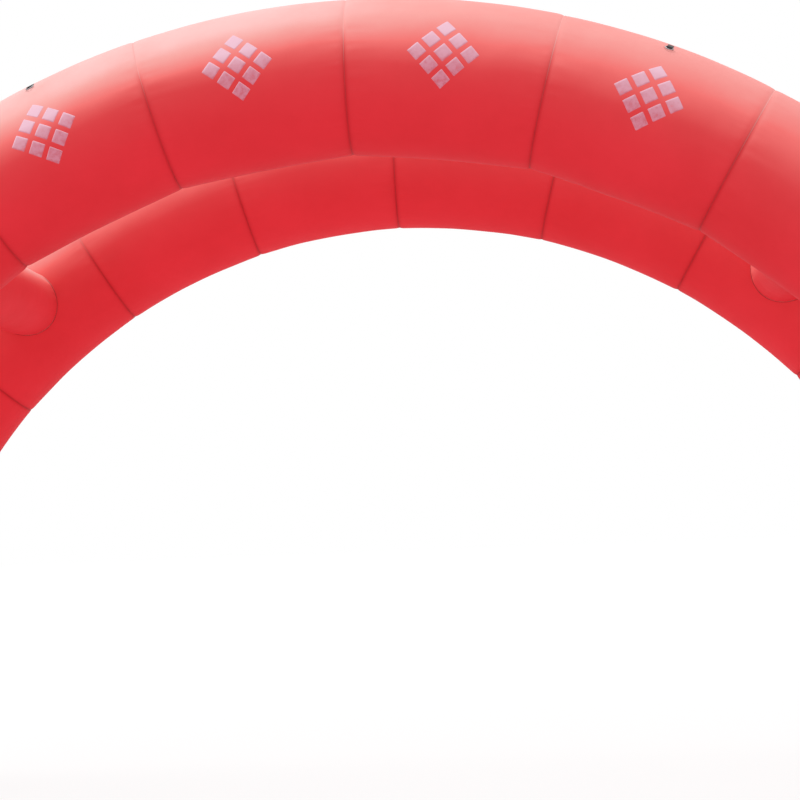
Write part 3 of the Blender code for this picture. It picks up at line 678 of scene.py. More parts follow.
# Foot pans
# Each leg stands in a pan of heavier coated cloth, sewn to its lowest panel. The air presses the pan flat on
# the ground and rounds its edge, and the cloth gathers in small folds there.
FOOT_ROUNDING = 0.035
FOOT_BULGE = 0.006
FOOT_STEPS = 8
FOOT_FOLD = 0.0035
FOOT_FOLDS = 46
FOOT_FOLD_REACH = 0.025
FOOT_FOLD_FALL = 12
FOOT_COLUMNS = 240
BASE_DEEP = (0.22, 0.012, 0.018, 1)
BASE_RED = (0.36, 0.02, 0.028, 1)
BASE_PITCH = 0.0026


def worn_finish(name, roughness, shades, spots, gloss=None, grain=None, weave=None, **sockets):
    """A material whose colour follows worn spots.

    Gloss gives a noise, or None for the same spots, and the roughness at both its ends. Grain gives a noise
    and weave a pitch, each with the height and strength of its relief.
    """
    made, tree, shader = new_finish(name, roughness, **sockets)
    worn = noise(tree, *spots)
    tree.links.new(colours(tree, worn, *shades), shader.inputs["Base Color"])
    if gloss:
        rough(tree, shader, noise(tree, *gloss[0]) if gloss[0] else worn, *gloss[1:])
    relief = bumped(tree, shader, noise(tree, *grain[0]), *grain[1:]) if grain else None
    if weave:
        bumped(tree, shader, cloth_weave(tree, weave[0]), *weave[1:], relief)
    return made


steps = [step / FOOT_STEPS for step in range(1, FOOT_STEPS + 1)]
foot_profile = [(tube_radius - SEAM_DEPTH, foot_height)]
foot_profile += [
    (tube_radius + FOOT_BULGE * sin(pi * step), foot_height + (FOOT_ROUNDING - foot_height) * step) for step in steps
]
foot_profile += [
    (tube_radius - FOOT_ROUNDING * (1 - cos(pi / 2 * step)), FOOT_ROUNDING * (1 - sin(pi / 2 * step)))
    for step in steps
]
foot_profile += [((tube_radius - FOOT_ROUNDING) * (1 - step), 0) for step in steps]
pan_cloth = worn_finish(
    "base_cloth",
    0.6,
    ((0.35, BASE_DEEP), (0.75, BASE_RED)),
    (5, 6, 0.7),
    ((22, 4), 0.5, 0.75),
    ((18, 5, 0.6), 0.003, 0.4),
    (BASE_PITCH, 0.0004, 0.6),
)
for arch_name, y in arch_y.items():
    for side, sign in side_sign.items():
        stand = Vector((sign * arch_radius, y, 0))

        def foot_spot(along, around):
            radius, height = foot_profile[round(along * (len(foot_profile) - 1))]
            turn = tau * around
            gather = exp(-(((height - FOOT_ROUNDING) / FOOT_FOLD_REACH) ** 2))
            gather *= (radius / tube_radius) ** FOOT_FOLD_FALL
            stray = wander(3, turn, 11 * sign + y)
            radius += gather * FOOT_FOLD * sin(FOOT_FOLDS * turn + 9 * stray) * (0.6 + stray)
            return stand + Vector((radius * sin(turn), radius * cos(turn), height))

        def foot_flat(along, around):
            return tau * around * tube_radius, along * (foot_height + tube_radius)

        middle = stand + Vector((0, 0, foot_height))
        pan = skin(len(foot_profile) - 1, FOOT_COLUMNS, foot_spot, pan_cloth, middle, foot_flat)
        show(f"{arch_name}_foot_{side}_cloth", pan, "arch", f"{arch_name}_foot_{side}", slot="base_cloth")

# Pale marks
# A pale pink lozenge of nine smaller ones is painted on the front of each of eight panels. The paint is a
# thin skin that follows the cloth.
MARKED_PANELS = (1, 2, 3, 4)
MARK_LEAN = radians(85)
MARK_HALF = 0.235
MARK_CELLS = 3
MARK_SHARE = 0.8
MARK_STEPS = 12
PAINT_THICKNESS = 0.0012
PAINT = (0.66, 0.205, 0.285, 1)
PAINT_WORN = (0.6, 0.11, 0.16, 1)
# Painted sunlight: the paint's colour where the sun falls on it
PAINT_PALE = (0.94, 0.58, 0.7, 1)
PAINT_PALE_GAIN = 1.5


def mark_paint():
    """Flat paint that is rubbed thin in small spots, so that the cloth shows through, and painted paler where the sun
    falls.
    """
    made, tree, shader = new_finish("mark_paint", 0.55, Specular_IOR_Level=0.25)
    shades = (0.28, REDS["front"][1]), (0.4, PAINT_WORN), (0.58, PAINT)
    worn = colours(tree, noise(tree, 30, 6, 0.7), *shades)
    bright = mixed(tree, marked(tree, "sunlit") * PAINT_PALE_GAIN, worn, PAINT_PALE)
    tree.links.new(bright, shader.inputs["Base Color"])
    rough(tree, shader, noise(tree, 60, 3), 0.45, 0.65)
    bumped(tree, shader, noise(tree, 160, 3), 0.0004, 0.4)
    return made


def in_cell(cell, step):
    """How far along the lozenge a step within one of its cells lies."""
    return (cell + 0.5 + MARK_SHARE * (step / MARK_STEPS - 0.5)) / MARK_CELLS


paint = mark_paint()
for side, sign in side_sign.items():
    for number in MARKED_PANELS:
        cloth = panel_meshes[f"front_panel_{side}_{number}"]
        tree = BVHTree.FromPolygons([v.co for v in cloth.vertices], [tuple(f.vertices) for f in cloth.polygons])
        middle = sign * (seams[number - 1] + seams[number]) / 2
        bm = bmesh.new()
        for cell in range(MARK_CELLS**2):
            over, under = {}, {}
            for i in range(MARK_STEPS + 1):
                for j in range(MARK_STEPS + 1):
                    along, across = in_cell(cell % MARK_CELLS, i), in_cell(cell // MARK_CELLS, j)
                    right_by = (along + across - 1) * MARK_HALF
                    up_by = (along - across) * MARK_HALF
                    ring = in_arch(arch_y["front"], middle + right_by / arch_radius)
                    lean = MARK_LEAN - up_by / tube_radius
                    start = ring @ Vector((0, 0, arch_radius))
                    aim = ring.to_3x3() @ Vector((0, -sin(lean), cos(lean)))
                    hit, facing, _, _ = tree.ray_cast(start + aim * 2 * tube_radius, -aim)
                    under[i, j] = over[i, j] = bm.verts.new(hit - facing * PAINT_THICKNESS)
                    if 0 < i < MARK_STEPS and 0 < j < MARK_STEPS:
                        over[i, j] = bm.verts.new(hit + facing * PAINT_THICKNESS)
            for i in range(MARK_STEPS):
                for j in range(MARK_STEPS):
                    corners = [(i, j), (i, j + 1), (i + 1, j + 1), (i + 1, j)]
                    for grid, order in ((over, corners), (under, corners[::-1])):
                        face = bm.faces.new([grid[corner] for corner in order])
                        face.smooth = True
        bmesh.ops.recalc_face_normals(bm, faces=bm.faces)
        # The marks get painted sunlight in their colour.
        show(f"front_mark_{side}_{number}", paint_sunlight(plain_mesh(bm, paint)), "arch")

# Tether tabs and rings
# On the outside of each arch a folded strip of black webbing is sewn flat on the cloth, and its fold holds a
# steel D-ring for a guy rope. The thread goes round in a box and across it twice.
CAD_SWELL = 0.011
CAD_BEND = 0.7
SEWN_GAP = 0.0003
TAB_ANGLE = PANEL_ANGLE * 1.5
TAB_LEAN = tau / TUBE_SIDES * 1.5
TAB_LENGTH = 0.1
TAB_WIDTH = 0.036
TAB_CLOTH = 0.003
TAB_PLY = 0.0014
TAB_STEPS = 12
LOWER_PLY_SHORT = 0.006
UPPER_PLY_FROM = 0.012
UPPER_PLY_SHORT = 0.014
FOLD_TURN = (-60, 240)
FOLD_STEPS = 24
RING_WIRE = 0.003
RING_WIDTH = 0.052
RING_DEPTH = 0.046
RING_LOOP = (RING_WIRE + 0.0006) / cos(pi / 8) + TAB_CLOTH
RING_STEPS = 48
RING_START = 0.1
BAR_SHARE = 0.9
BAR_STEPS = 16
PRESS_FADE = 0.16
PRESS_GAP = 0.0004
PRESS_REACH = 0.1
BOX_HALF = (0.013, 0.028)
BOX_BACK = 0.012
FINE_STITCH = {"pitch": 0.0042, "length": 0.0032, "width": 0.0009}
THREAD_LIFT = 0.0001
WEBBING_BLACK = (0.018, 0.018, 0.021, 1)
WEBBING_GREY = (0.045, 0.044, 0.048, 1)
WEBBING_PITCH = 0.0021
TAB_THREAD_DARK = (0.1, 0.1, 0.1, 1)
TAB_THREAD_LIGHT = (0.2, 0.2, 0.2, 1)
STEEL_DARK = (0.19, 0.19, 0.2, 1)
STEEL_LIGHT = (0.42, 0.42, 0.43, 1)
RIBBON_COLUMNS = 32
RIBBON_POWERS = (0.3, 0.6)


def steel_finish(name, dark, light, roughness, metallic=1.0, spots_per_metre=120):
    """Plated or painted steel with fine scratches and duller spots."""
    shades, spots = ((0.3, dark), (0.65, light)), (spots_per_metre, 6, 0.7)
    gloss, scratches = (None, roughness + 0.12, roughness - 0.08), ((900, 3, 0.6), 0.0001, 0.3)
    return worn_finish(name, roughness, shades, spots, gloss, scratches, Metallic=metallic)


def pressed(mesh, seat, half_long, half_wide, fade):
    """Draws the cloth down flat under a piece that is sewn on at the seat."""
    into = seat.inverted()
    for vert in mesh.vertices:
        place = into @ vert.co
        if abs(place.z) < PRESS_REACH:
            away = hypot(max(0, abs(place.x) - half_long), max(0, abs(place.y) - half_wide)) / fade
            over = place.z + PRESS_GAP
            if away < 1 and over > 0:
                place.z -= over * (1 - away * away) ** 2
                vert.co = seat @ place
    mesh.update()


def squared(value, power):
    """A wave with its crests drawn out by a power under 1, which makes a round section squarer."""
    return abs(value) ** power * (1 if value > 0 else -1)


def ribbon(path, across, width, thickness, finish):
    """A flat strip of webbing along a path, with rounded edges and closed ends."""
    path = [Vector(place) for place in path]
    lengths = [0]
    for before, after in zip(path, path[1:]):
        lengths.append(lengths[-1] + (after - before).length)
    last = len(path) - 1
    cyclic = (path[0] - path[-1]).length < MERGE

    def spot(along, around):
        row = round(along * last)
        before, after = path[max(row - 1, 0)], path[min(row + 1, last)]
        if cyclic and row in (0, last):
            before, after = path[-2], path[1]
        up = across.cross(after - before).normalized()
        wide = squared(cos(tau * around), RIBBON_POWERS[0]) * width / 2
        high = squared(sin(tau * around), RIBBON_POWERS[1]) * thickness / 2
        return path[row] + across * wide + up * high * (cyclic or 0 < row < last)

    def flat(along, around):
        return lengths[round(along * last)], cos(tau * around) * width / 2

    return skin(last, RIBBON_COLUMNS, spot, finish, sum(path, Vector()) / len(path), flat)


webbing = worn_finish(
    "webbing",
    0.75,
    ((0.35, WEBBING_BLACK), (0.75, WEBBING_GREY)),
    (45, 5, 0.65),
    (None, 0.6, 0.85),
    weave=(WEBBING_PITCH, 0.0004, 0.8),
    Sheen_Weight=0.15,
)
ring_steel = steel_finish("ring_steel", STEEL_DARK, STEEL_LIGHT, 0.35)
tab_thread = woven_finish("tab_thread", THREAD_RIB, TAB_THREAD_DARK, TAB_THREAD_LIGHT, 0.6)
end = TAB_LENGTH / 2
bend = RING_LOOP - TAB_PLY / 2
tab_steps = [step / TAB_STEPS for step in range(TAB_STEPS + 1)]
fold = [(0, -end + (2 * end - LOWER_PLY_SHORT) * step, TAB_PLY / 2) for step in tab_steps]
for step in range(FOLD_STEPS + 1):
    turn = radians(FOLD_TURN[0] + FOLD_TURN[1] * step / FOLD_STEPS)
    fold.append((0, end + bend * cos(turn), RING_LOOP + bend * sin(turn)))
upper = TAB_CLOTH - TAB_PLY / 2
fold += [(0, end - UPPER_PLY_FROM - (2 * end - UPPER_PLY_SHORT) * step, upper) for step in tab_steps]
box = [
    Vector((x * BOX_HALF[0], y * BOX_HALF[1] - BOX_BACK, TAB_CLOTH + THREAD_LIFT))
    for x, y in ((-1, -1), (1, -1), (1, 1), (-1, 1))
]
bow = []
for step in range(RING_STEPS + 1):
    turn = RING_START + (pi - 2 * RING_START) * step / RING_STEPS
    bow.append((RING_WIDTH / 2 * cos(turn), RING_DEPTH * sin(turn), 0))
bow += [(RING_WIDTH * (step / BAR_STEPS - 0.5) * BAR_SHARE, 0, 0) for step in range(BAR_STEPS + 1)]
for arch_name, y in arch_y.items():
    outward = 1 if y > 0 else -1
    for side, sign in side_sign.items():
        seat = (
            in_arch(y, sign * TAB_ANGLE)
            @ Matrix.Translation((0, 0, arch_radius * (CAD_BEND + (1 - CAD_BEND) * cos(PANEL_ANGLE / 2))))
            @ Matrix.Rotation(-outward * TAB_LEAN, 4, "X")
            @ Matrix.Translation((0, 0, (cad_radius + CAD_SWELL) * cos(pi / TUBE_SIDES) + SEWN_GAP))
            @ Matrix.Rotation(0 if y > 0 else pi, 4, "Z")
        )
        pressed(panel_meshes[f"{arch_name}_panel_{side}_2"], seat, TAB_WIDTH / 2, TAB_LENGTH / 2, PRESS_FADE)
        tab = ribbon(fold, Vector((1, 0, 0)), TAB_WIDTH, TAB_PLY, webbing)
        name = f"{arch_name}_tether_tab_{side}"
        show(f"{name}_webbing", tab, "arch", name, slot="webbing", at=seat)
        rows = [stitched(box, tab_thread, **FINE_STITCH)]
        rows += [stitched(line, tab_thread, False, **FINE_STITCH) for line in (box[::2], box[1::2])]
        show(f"{name}_stitches", joined(rows), "arch", at=seat)
        ring = taped(bow, RING_WIRE, RING_WIRE, ring_steel, sides=20)
        name = f"{arch_name}_tether_ring_{side}"
        hung = seat @ Matrix.Translation((0, end, RING_LOOP))
        show(f"{name}_wire", ring, f"{arch_name}_ring_{side}", name, slot="ring_steel", at=hung)

# Deflation zip
# A coil zip in a cloth tape is sewn on the left leg of the rear arch, so that the air can be let out. The
# slider is steel and has a pull plate on a small bridge.
ZIP_ANGLE = -PANEL_ANGLE * 4.5
ZIP_LENGTH = 0.45
ZIP_TAPE_WIDTH = 0.04
ZIP_TAPE = 0.001
ZIP_TAPE_STEPS = 60
ZIP_LIFT = 0.0006
ZIP_PRESS_FADE = 0.06
ZIP_WEAVE = 0.0011
ZIP_ROW_SHARE = 0.4
ZIP_ROW_SHORT = 0.004
COIL_SHORT = 0.006
COIL_OFFSET = 0.0012
COIL_LIFT = 0.0008
COIL_RIB = 0.0006
TOOTH_PITCH = 0.0021
TOOTH = {"pitch": TOOTH_PITCH, "length": 0.0012, "width": 0.0046, "height": 0.0026}
SLIDER_LENGTH = 0.024
SLIDER_TOP = 0.0064
BRIDGE_HALF = 0.007
BRIDGE_RISE = 0.0042
BRIDGE_SUNK = 0.0006
BRIDGE_SECTION = (0.0016, 0.0009)
PULL_START = 0.002
PULL_LENGTH = 0.03
PULL_WIDTH = 0.009
PULL_THICKNESS = 0.0012
PULL_LIFT = 0.0018
PULL_FALL = 0.0012
PULL_STEPS = 12
TAPE_BLACK = (0.022, 0.006, 0.008, 1)
TAPE_WINE = (0.09, 0.012, 0.016, 1)
COIL_DARK = (0.012, 0.011, 0.012, 1)
COIL_LIGHT = (0.05, 0.046, 0.048, 1)


def cad_point(share, around):
    """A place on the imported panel, from which the zip takes its seat."""
    here = PANEL_ANGLE / 2 * share
    centre = arch_radius * (CAD_BEND + (1 - CAD_BEND) * cos(PANEL_ANGLE / 2) / cos(here))
    section = cad_radius + CAD_SWELL * (1 - share**2)
    rise = centre + section * cos(around)
    spot = Vector((sin(here) * rise, section * sin(around), cos(here) * rise))
    return spot - Vector((cos(here), 0, -sin(here))) * share * SEWN_GAP / 2


def dress(name, finish):
    """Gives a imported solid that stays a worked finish."""
    in_finish(bpy.data.objects[name].data, finish)


corners = [cad_point(share, around) for share in (-1, 0) for around in (pi / 2 - tau / TUBE_SIDES, pi / 2)]
low, high = (corners[0] + corners[1]) / 2, (corners[2] + corners[3]) / 2
along = (high - low).normalized()
out = along.cross(corners[1] + corners[3] - corners[0] - corners[2]).normalized()
out *= 1 if out.y > 0 else -1
axes = Matrix((along, out.cross(along), out)).transposed().to_4x4()
zip_seat = in_arch(arch_y["rear"], ZIP_ANGLE) @ Matrix.Translation((low + high) / 2 + out * ZIP_LIFT) @ axes
half_zip = ZIP_LENGTH / 2
pressed(panel_meshes["rear_panel_left_5"], zip_seat, half_zip, ZIP_TAPE_WIDTH / 2, ZIP_PRESS_FADE)
zip_cloth = worn_finish(
    "zip_cloth",
    0.75,
    ((0.35, TAPE_BLACK), (0.75, TAPE_WINE)),
    (30, 5, 0.6),
    weave=(ZIP_WEAVE, 0.0003, 0.7),
    Sheen_Weight=0.1,
)
line = [((step / ZIP_TAPE_STEPS - 0.5) * ZIP_LENGTH, 0, ZIP_TAPE / 2) for step in range(ZIP_TAPE_STEPS + 1)]
tape = ribbon(line, Vector((0, -1, 0)), ZIP_TAPE_WIDTH, ZIP_TAPE, zip_cloth)
show("deflation_zip_tape", tape, "arch", "deflation_zip", slot="zip_cloth", at=zip_seat)
coil_finish = woven_finish("zip_coil", COIL_RIB, COIL_DARK, COIL_LIGHT, 0.45)
halves, rows = [], []
for edge in (-1, 1):
    first, last = -half_zip + COIL_SHORT + (edge + 1) * TOOTH_PITCH / 4, half_zip - COIL_SHORT
    half_coil = [(x, edge * COIL_OFFSET, ZIP_TAPE + COIL_LIFT) for x in (first, last)]
    halves.append(stitched(half_coil, coil_finish, False, **TOOTH))
    y = edge * ZIP_ROW_SHARE * ZIP_TAPE_WIDTH
    row = [(sign * (half_zip - ZIP_ROW_SHORT), y, ZIP_TAPE + 2 * THREAD_LIFT) for sign in (-1, 1)]
    rows.append(stitched(row, tab_thread, False, **FINE_STITCH))
show("deflation_zip_coil", joined(halves), "arch", at=zip_seat)
show("deflation_zip_stitches", joined(rows), "arch", at=zip_seat)
bridge, plate = [], []
for step in range(PULL_STEPS + 1):
    turn = pi * step / PULL_STEPS
    bridge.append((BRIDGE_HALF * cos(turn), 0, SLIDER_TOP - BRIDGE_SUNK + BRIDGE_RISE * sin(turn)))
    height = SLIDER_TOP + PULL_LIFT - PULL_FALL * step / PULL_STEPS
    plate.append((-PULL_START - PULL_LENGTH * step / PULL_STEPS, 0, height))
bridge = taped(bridge, *BRIDGE_SECTION, ring_steel, False)
plate = ribbon(plate, Vector((0, 1, 0)), PULL_WIDTH, PULL_THICKNESS, ring_steel)
closed = zip_seat @ Matrix.Translation(((ZIP_LENGTH - SLIDER_LENGTH) / 2, 0, 0))
show("zip_pull", joined([bridge, plate]), "zip_slider", at=closed)
dress("zip_slider", ring_steel)

# Inlet sleeves
# A cloth sleeve is sewn to the inner side of each rear leg and slips over the blower's collar, where a strap
# gathers it. It is cut wider at the leg, and creases lengthwise towards the strap.
SLEEVE_ROWS = 72
SLEEVE_COLUMNS = 192
SLEEVE_FOLD = 0.0045
SLEEVE_FOLDS = 17
SLEEVE_FOLD_START = 0.02
SLEEVE_FOLD_REACH = 0.16
SLEEVE_WAVE = 0.003
SLEEVE_FLARE = 0.45
SLEEVE_LAP = 0.08
SLEEVE_LENGTH = 0.35
STRAP_SEAT = 0.0034
collar_low, collar_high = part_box("outlet_collar_right")
strap_low, strap_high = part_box("sleeve_strap_right")
sleeve_low, sleeve_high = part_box("inlet_sleeve_right")
mouth_y = collar_high.y
sleeve_height = (sleeve_low.z + sleeve_high.z) / 2
sleeve_x = (collar_low.x + collar_high.x) / 2
root_radius = (sleeve_high.z - sleeve_low.z) / 2
lap_radius = (strap_high.z - strap_low.z) / 2 - STRAP_SEAT
for side, sign in side_sign.items():
    angle, half = sign * (seams[-2] + seams[-1]) / 2, (seams[-1] - seams[-2]) / 2
    centre = Vector((sign * sleeve_x, mouth_y, sleeve_height))

    def sleeve_spot(along, around):
        turn = tau * around
        x, z = centre.x + root_radius * sin(turn), centre.z + root_radius * cos(turn)
        end = arch_y["rear"] - panel_side("rear", angle, half, x, z)
        start = mouth_y - SLEEVE_LAP
        y = start + (end - start) * along
        opened = min(1, max(0, (y - mouth_y) / SLEEVE_LENGTH))
        flare = opened * (1 - SLEEVE_FLARE) + SLEEVE_FLARE * sin(pi / 2 * opened)
        stray = wander(2, turn, 5 * sign + 2 * y)
        fold = sin(SLEEVE_FOLDS * turn + 7 * stray)
        reach = max(0, y - mouth_y)
        radius = lap_radius + (root_radius - lap_radius) * flare
        radius += SLEEVE_FOLD * (1 + fold) * (1 - exp(-reach / SLEEVE_FOLD_START)) * exp(-reach / SLEEVE_FOLD_REACH)
        radius += SLEEVE_WAVE * stray * opened * (1 - opened) * 4
        return Vector((centre.x + radius * sin(turn), y, centre.z + radius * cos(turn)))

    def sleeve_flat(along, around):
        return tau * around * root_radius, along * (SLEEVE_LAP + SLEEVE_LENGTH)

    middle = centre + Vector((0, SLEEVE_LENGTH / 2, 0))
    sleeve = skin(SLEEVE_ROWS, SLEEVE_COLUMNS, sleeve_spot, panel_cloth["rear"], middle, sleeve_flat)
    # The sleeve gets painted sunlight in its colour.
    show(f"inlet_sleeve_{side}_cloth", paint_sunlight(sleeve), "arch", f"inlet_sleeve_{side}", slot="red_cloth")
    tape, row = sewn_on("rear", angle, half, centre, root_radius, -1, SLEEVE_COLUMNS // 2)
    show(f"inlet_sleeve_{side}_seam_tape", tape, "arch")
    show(f"inlet_sleeve_{side}_stitches", row, "arch")

# Sleeve straps
# A black webbing strap ties each sleeve to the collar. It runs through a cam buckle on top, and its free
# end lies back along the strap.
STRAP_WIDTH = 0.03
STRAP_THICKNESS = 0.003
STRAP_STEPS = 120
TAIL_START = 0.1
TAIL_TURN = radians(75)
TAIL_LIFT = (1.05, 1.6)
TAIL_DRIFT = 0.004
TAIL_WIDTH_SHARE = 0.96
TAIL_THICKNESS_SHARE = 0.6
TAIL_STEPS = 24
BUCKLE_LENGTH = 0.034
BUCKLE_WIDTH = 0.038
BUCKLE_HEIGHT = 0.009
BUCKLE_CORNER = 0.003
# Its frame and its lever: shares of the width and height, how high they sit, and how far they are tipped
BUCKLE_BLOCKS = ((1, 0.45, 0.2, 0), (0.62, 0.4, 0.7, 0.2))
BUCKLE_BLACK = (0.016, 0.016, 0.018, 1)
BUCKLE_GREY = (0.03, 0.03, 0.033, 1)
strap_radius = (strap_high.z - strap_low.z) / 2 - STRAP_THICKNESS / 2
strap_y = (strap_low.y + strap_high.y) / 2


def moulded(name, dark, light, roughness, grain=400, height=0.0001):
    """Moulded plastic with a fine grain, duller where hands and dust have been."""
    shades, gloss = ((0.32, dark), (0.68, light)), ((40, 5), roughness - 0.1, roughness + 0.12)
    grain = ((grain, 2), height, 0.5)
    return worn_finish(name, roughness, shades, (7, 6, 0.65), gloss, grain, Specular_IOR_Level=0.4)


def soft_box(size, corner, finish, middle=(0, 0, 0)):
    """A block with rounded edges."""
    bm = bmesh.new()
    bmesh.ops.create_cube(bm, size=1, matrix=Matrix.Diagonal((*size, 1)))
    bmesh.ops.bevel(bm, geom=bm.edges, offset=corner, segments=3, profile=0.5, affect="EDGES")
    for face in bm.faces:
        face.smooth = True
    block = plain_mesh(bm, finish)
    block.transform(Matrix.Translation(middle))
    return block


buckle_plastic = moulded("buckle_plastic", BUCKLE_BLACK, BUCKLE_GREY, 0.4)
strap_side = Vector((0, 1, 0))
for side, sign in side_sign.items():
    centre = Matrix.Translation((sign * sleeve_x, strap_y, sleeve_height))
    turns = [tau * step / STRAP_STEPS for step in range(STRAP_STEPS + 1)]
    band = [(strap_radius * sin(turn), 0, strap_radius * cos(turn)) for turn in turns]
    band = ribbon(band, strap_side, STRAP_WIDTH, STRAP_THICKNESS, webbing)
    show(f"sleeve_strap_{side}_band", band, "arch", f"sleeve_strap_{side}", slot="webbing", at=centre)
    tail = []
    for share in (step / TAIL_STEPS for step in range(TAIL_STEPS + 1)):
        turn = -sign * (TAIL_START + TAIL_TURN * share)
        lift = strap_radius + STRAP_THICKNESS * (TAIL_LIFT[0] + TAIL_LIFT[1] * share**4)
        tail.append((lift * sin(turn), TAIL_DRIFT * share, lift * cos(turn)))
    tail_size = STRAP_WIDTH * TAIL_WIDTH_SHARE, STRAP_THICKNESS * TAIL_THICKNESS_SHARE
    show(f"sleeve_strap_{side}_tail", ribbon(tail, strap_side, *tail_size, webbing), "arch", at=centre)
    blocks = []
    for wide, high, rise, tip in BUCKLE_BLOCKS:
        size = BUCKLE_LENGTH * (1 - tip), BUCKLE_WIDTH * wide, BUCKLE_HEIGHT * high
        blocks.append(soft_box(size, BUCKLE_CORNER * high, buckle_plastic))
        height = strap_radius + STRAP_THICKNESS / 2 + BUCKLE_HEIGHT * rise
        blocks[-1].transform(Matrix.Translation((0, 0, height)) @ Matrix.Rotation(tip / 2, 4, "Y"))
    show(f"sleeve_strap_{side}_buckle", joined(blocks), "arch", at=centre)

# Blower cases
# Between the legs on each side stands a blower in a blue moulded scroll. It is made of two halves that are
# screwed together, and has a ribbed grip on its handle and rubber pads under its rails.
SCROLL_BIG = 0.2
SCROLL_SMALL = 0.15
SCROLL_TURN = radians(290)
SCROLL_STEPS = 110
THROAT_REACH = 0.24
THROAT_HEIGHT = 0.19
CASE_WIDTH = 0.2
CASE_ROUNDING = 0.005
CASE_WALL = 0.003
CASE_SHARP = radians(40)
FLAT_LIMIT = 0.99
INLET_RADIUS = 0.08
SHAFT_HOLE = 0.02
RAIL = (0.035, 0.3, 0.085)
RAIL_INSET = 0.012
RAIL_CORNER = 0.005
PAD = (0.039, 0.05, 0.012)
PAD_CORNER = 0.003
PAD_PAST = 0.002
GRIP_WIRE = 0.009
GRIP_LENGTH = 0.13
GRIP_RISE = 0.045
GRIP_CORNER = 0.022
GRIP_RIBS = 13
GRIP_RIB = 0.0011
GRIP_RUBBER = 0.0024
GRIP_CORE_SHARE = 0.9
GRIP_RIB_ROWS = 8
GRIP_COLUMNS = 40
GRIP_END_RISE = 8
SCREW_RADIUS = 0.0045
SCREW_HEIGHT = 0.0022
SCREW_INSET = 0.014
CASE_SCREWS = 7
RIB = (0.034, 0.0035, 0.005)
RIB_RADIUS = 0.121
RIBS = 20
CORNER_STEPS = 8
BLUE_DEEP = (0.018, 0.065, 0.24, 1)
BLUE = (0.035, 0.11, 0.34, 1)
RUBBER_DARK = (0.012, 0.012, 0.013, 1)
RUBBER_DUSTY = (0.04, 0.038, 0.036, 1)
SCREW_DARK = (0.3, 0.3, 0.31, 1)
SCREW_LIGHT = (0.55, 0.55, 0.56, 1)


def screw_tree():
    """Domed screw heads on places that all face one way."""
    tree, size = new_tree(
        "screws", Places="Geometry", Radius="Float", Height="Float", Facing="Vector", Finish="Material"
    )
    dome = node(tree, "GeometryNodeMeshUVSphere", 12, 6, 1)
    stretch = node(tree, "ShaderNodeCombineXYZ", size["Radius"], size["Radius"], size["Height"])
    head = node(tree, "GeometryNodeTransform", dome, None, None, stretch)
    return spread_tree(tree, size["Places"], head, size["Facing"], "Z", size["Finish"])


def rib_tree():
    """Blocks spread evenly round a circle about Z, each with its length outwards."""
    tree, size = new_tree(
        "ribs", Count="Int", Radius="Float", Length="Float", Width="Float", Height="Float", Finish="Material"
    )
    ring = node(tree, "GeometryNodeMeshCircle", size["Count"], size["Radius"])
    block = node(tree, "ShaderNodeCombineXYZ", size["Length"], size["Width"], size["Height"])
    rib = node(tree, "GeometryNodeMeshCube", block)
    return spread_tree(tree, ring, rib, node(tree, "GeometryNodeInputPosition"), "X", size["Finish"])


def screws(places, facing, radius=SCREW_RADIUS, height=SCREW_HEIGHT):
    return grown(screw_shape, places, False, Radius=radius, Height=height, Facing=facing, Finish=screw_steel)


def ribbed(count, radius, size, finish):
    sizes = dict(zip(("Length", "Width", "Height"), size))
    return grown(rib_shape, Count=count, Radius=radius, **sizes, Finish=finish)


def scroll_outline(inwards=0):
    """The scroll about its axle, from the top of its mouth round to the foot of it."""
    points = [(THROAT_REACH - inwards, SCROLL_BIG - inwards)]
    for step in range(SCROLL_STEPS + 1):
        turn = SCROLL_TURN * step / SCROLL_STEPS
        radius = SCROLL_BIG + (SCROLL_SMALL - SCROLL_BIG) * step / SCROLL_STEPS - inwards
        points.append((-sin(turn) * radius, cos(turn) * radius))
    return points + [(THROAT_REACH - inwards, SCROLL_BIG - THROAT_HEIGHT + inwards)]


def scroll_half(hole):
    """One half of the scroll, open towards its other half, with a round hole about the axle."""
    curve = bpy.data.curves.new("scroll", "CURVE")
    curve.dimensions = "2D"
    curve.fill_mode = "BOTH"
    curve.bevel_depth = CASE_ROUNDING
    curve.bevel_resolution = 3
    curve.offset = -CASE_ROUNDING
    curve.extrude = CASE_WIDTH / 4 - CASE_ROUNDING
    for outline in (scroll_outline(), [place[:2] for place in circle(hole, steps=64)]):
        spline = curve.splines.new("POLY")
        spline.points.add(len(outline) - 1)
        for point, place in zip(spline.points, outline):
            point.co = (*place, 0, 1)
        spline.use_cyclic_u = True
    bm = bmesh.new()
    bm.from_mesh(baked(placed("scroll", curve)))
    bmesh.ops.remove_doubles(bm, verts=bm.verts, dist=MERGE / 10)
    inner = CASE_ROUNDING - CASE_WIDTH / 4

    def is_cut(face):
        """Whether it belongs to the far side's plate, or to the hole beyond its near rounding."""
        heights = [vert.co.z for vert in face.verts]
        by_hole = max(hypot(*vert.co.xy) for vert in face.verts) < hole + 2 * CASE_ROUNDING
        if max(heights) < inner:
            return by_hole or abs(face.normal.z) > FLAT_LIMIT
        return by_hole and min(heights) < inner + MERGE

    bmesh.ops.delete(bm, geom=[face for face in bm.faces if is_cut(face)], context="FACES")
    bmesh.ops.translate(bm, verts=bm.verts, vec=(0, 0, CASE_WIDTH / 4))
    half_shell = plain_mesh(bm, blower_plastic)
    half_shell.transform(Matrix.Rotation(pi / 2, 4, "Z") @ Matrix.Rotation(pi / 2, 4, "X"))
    return half_shell


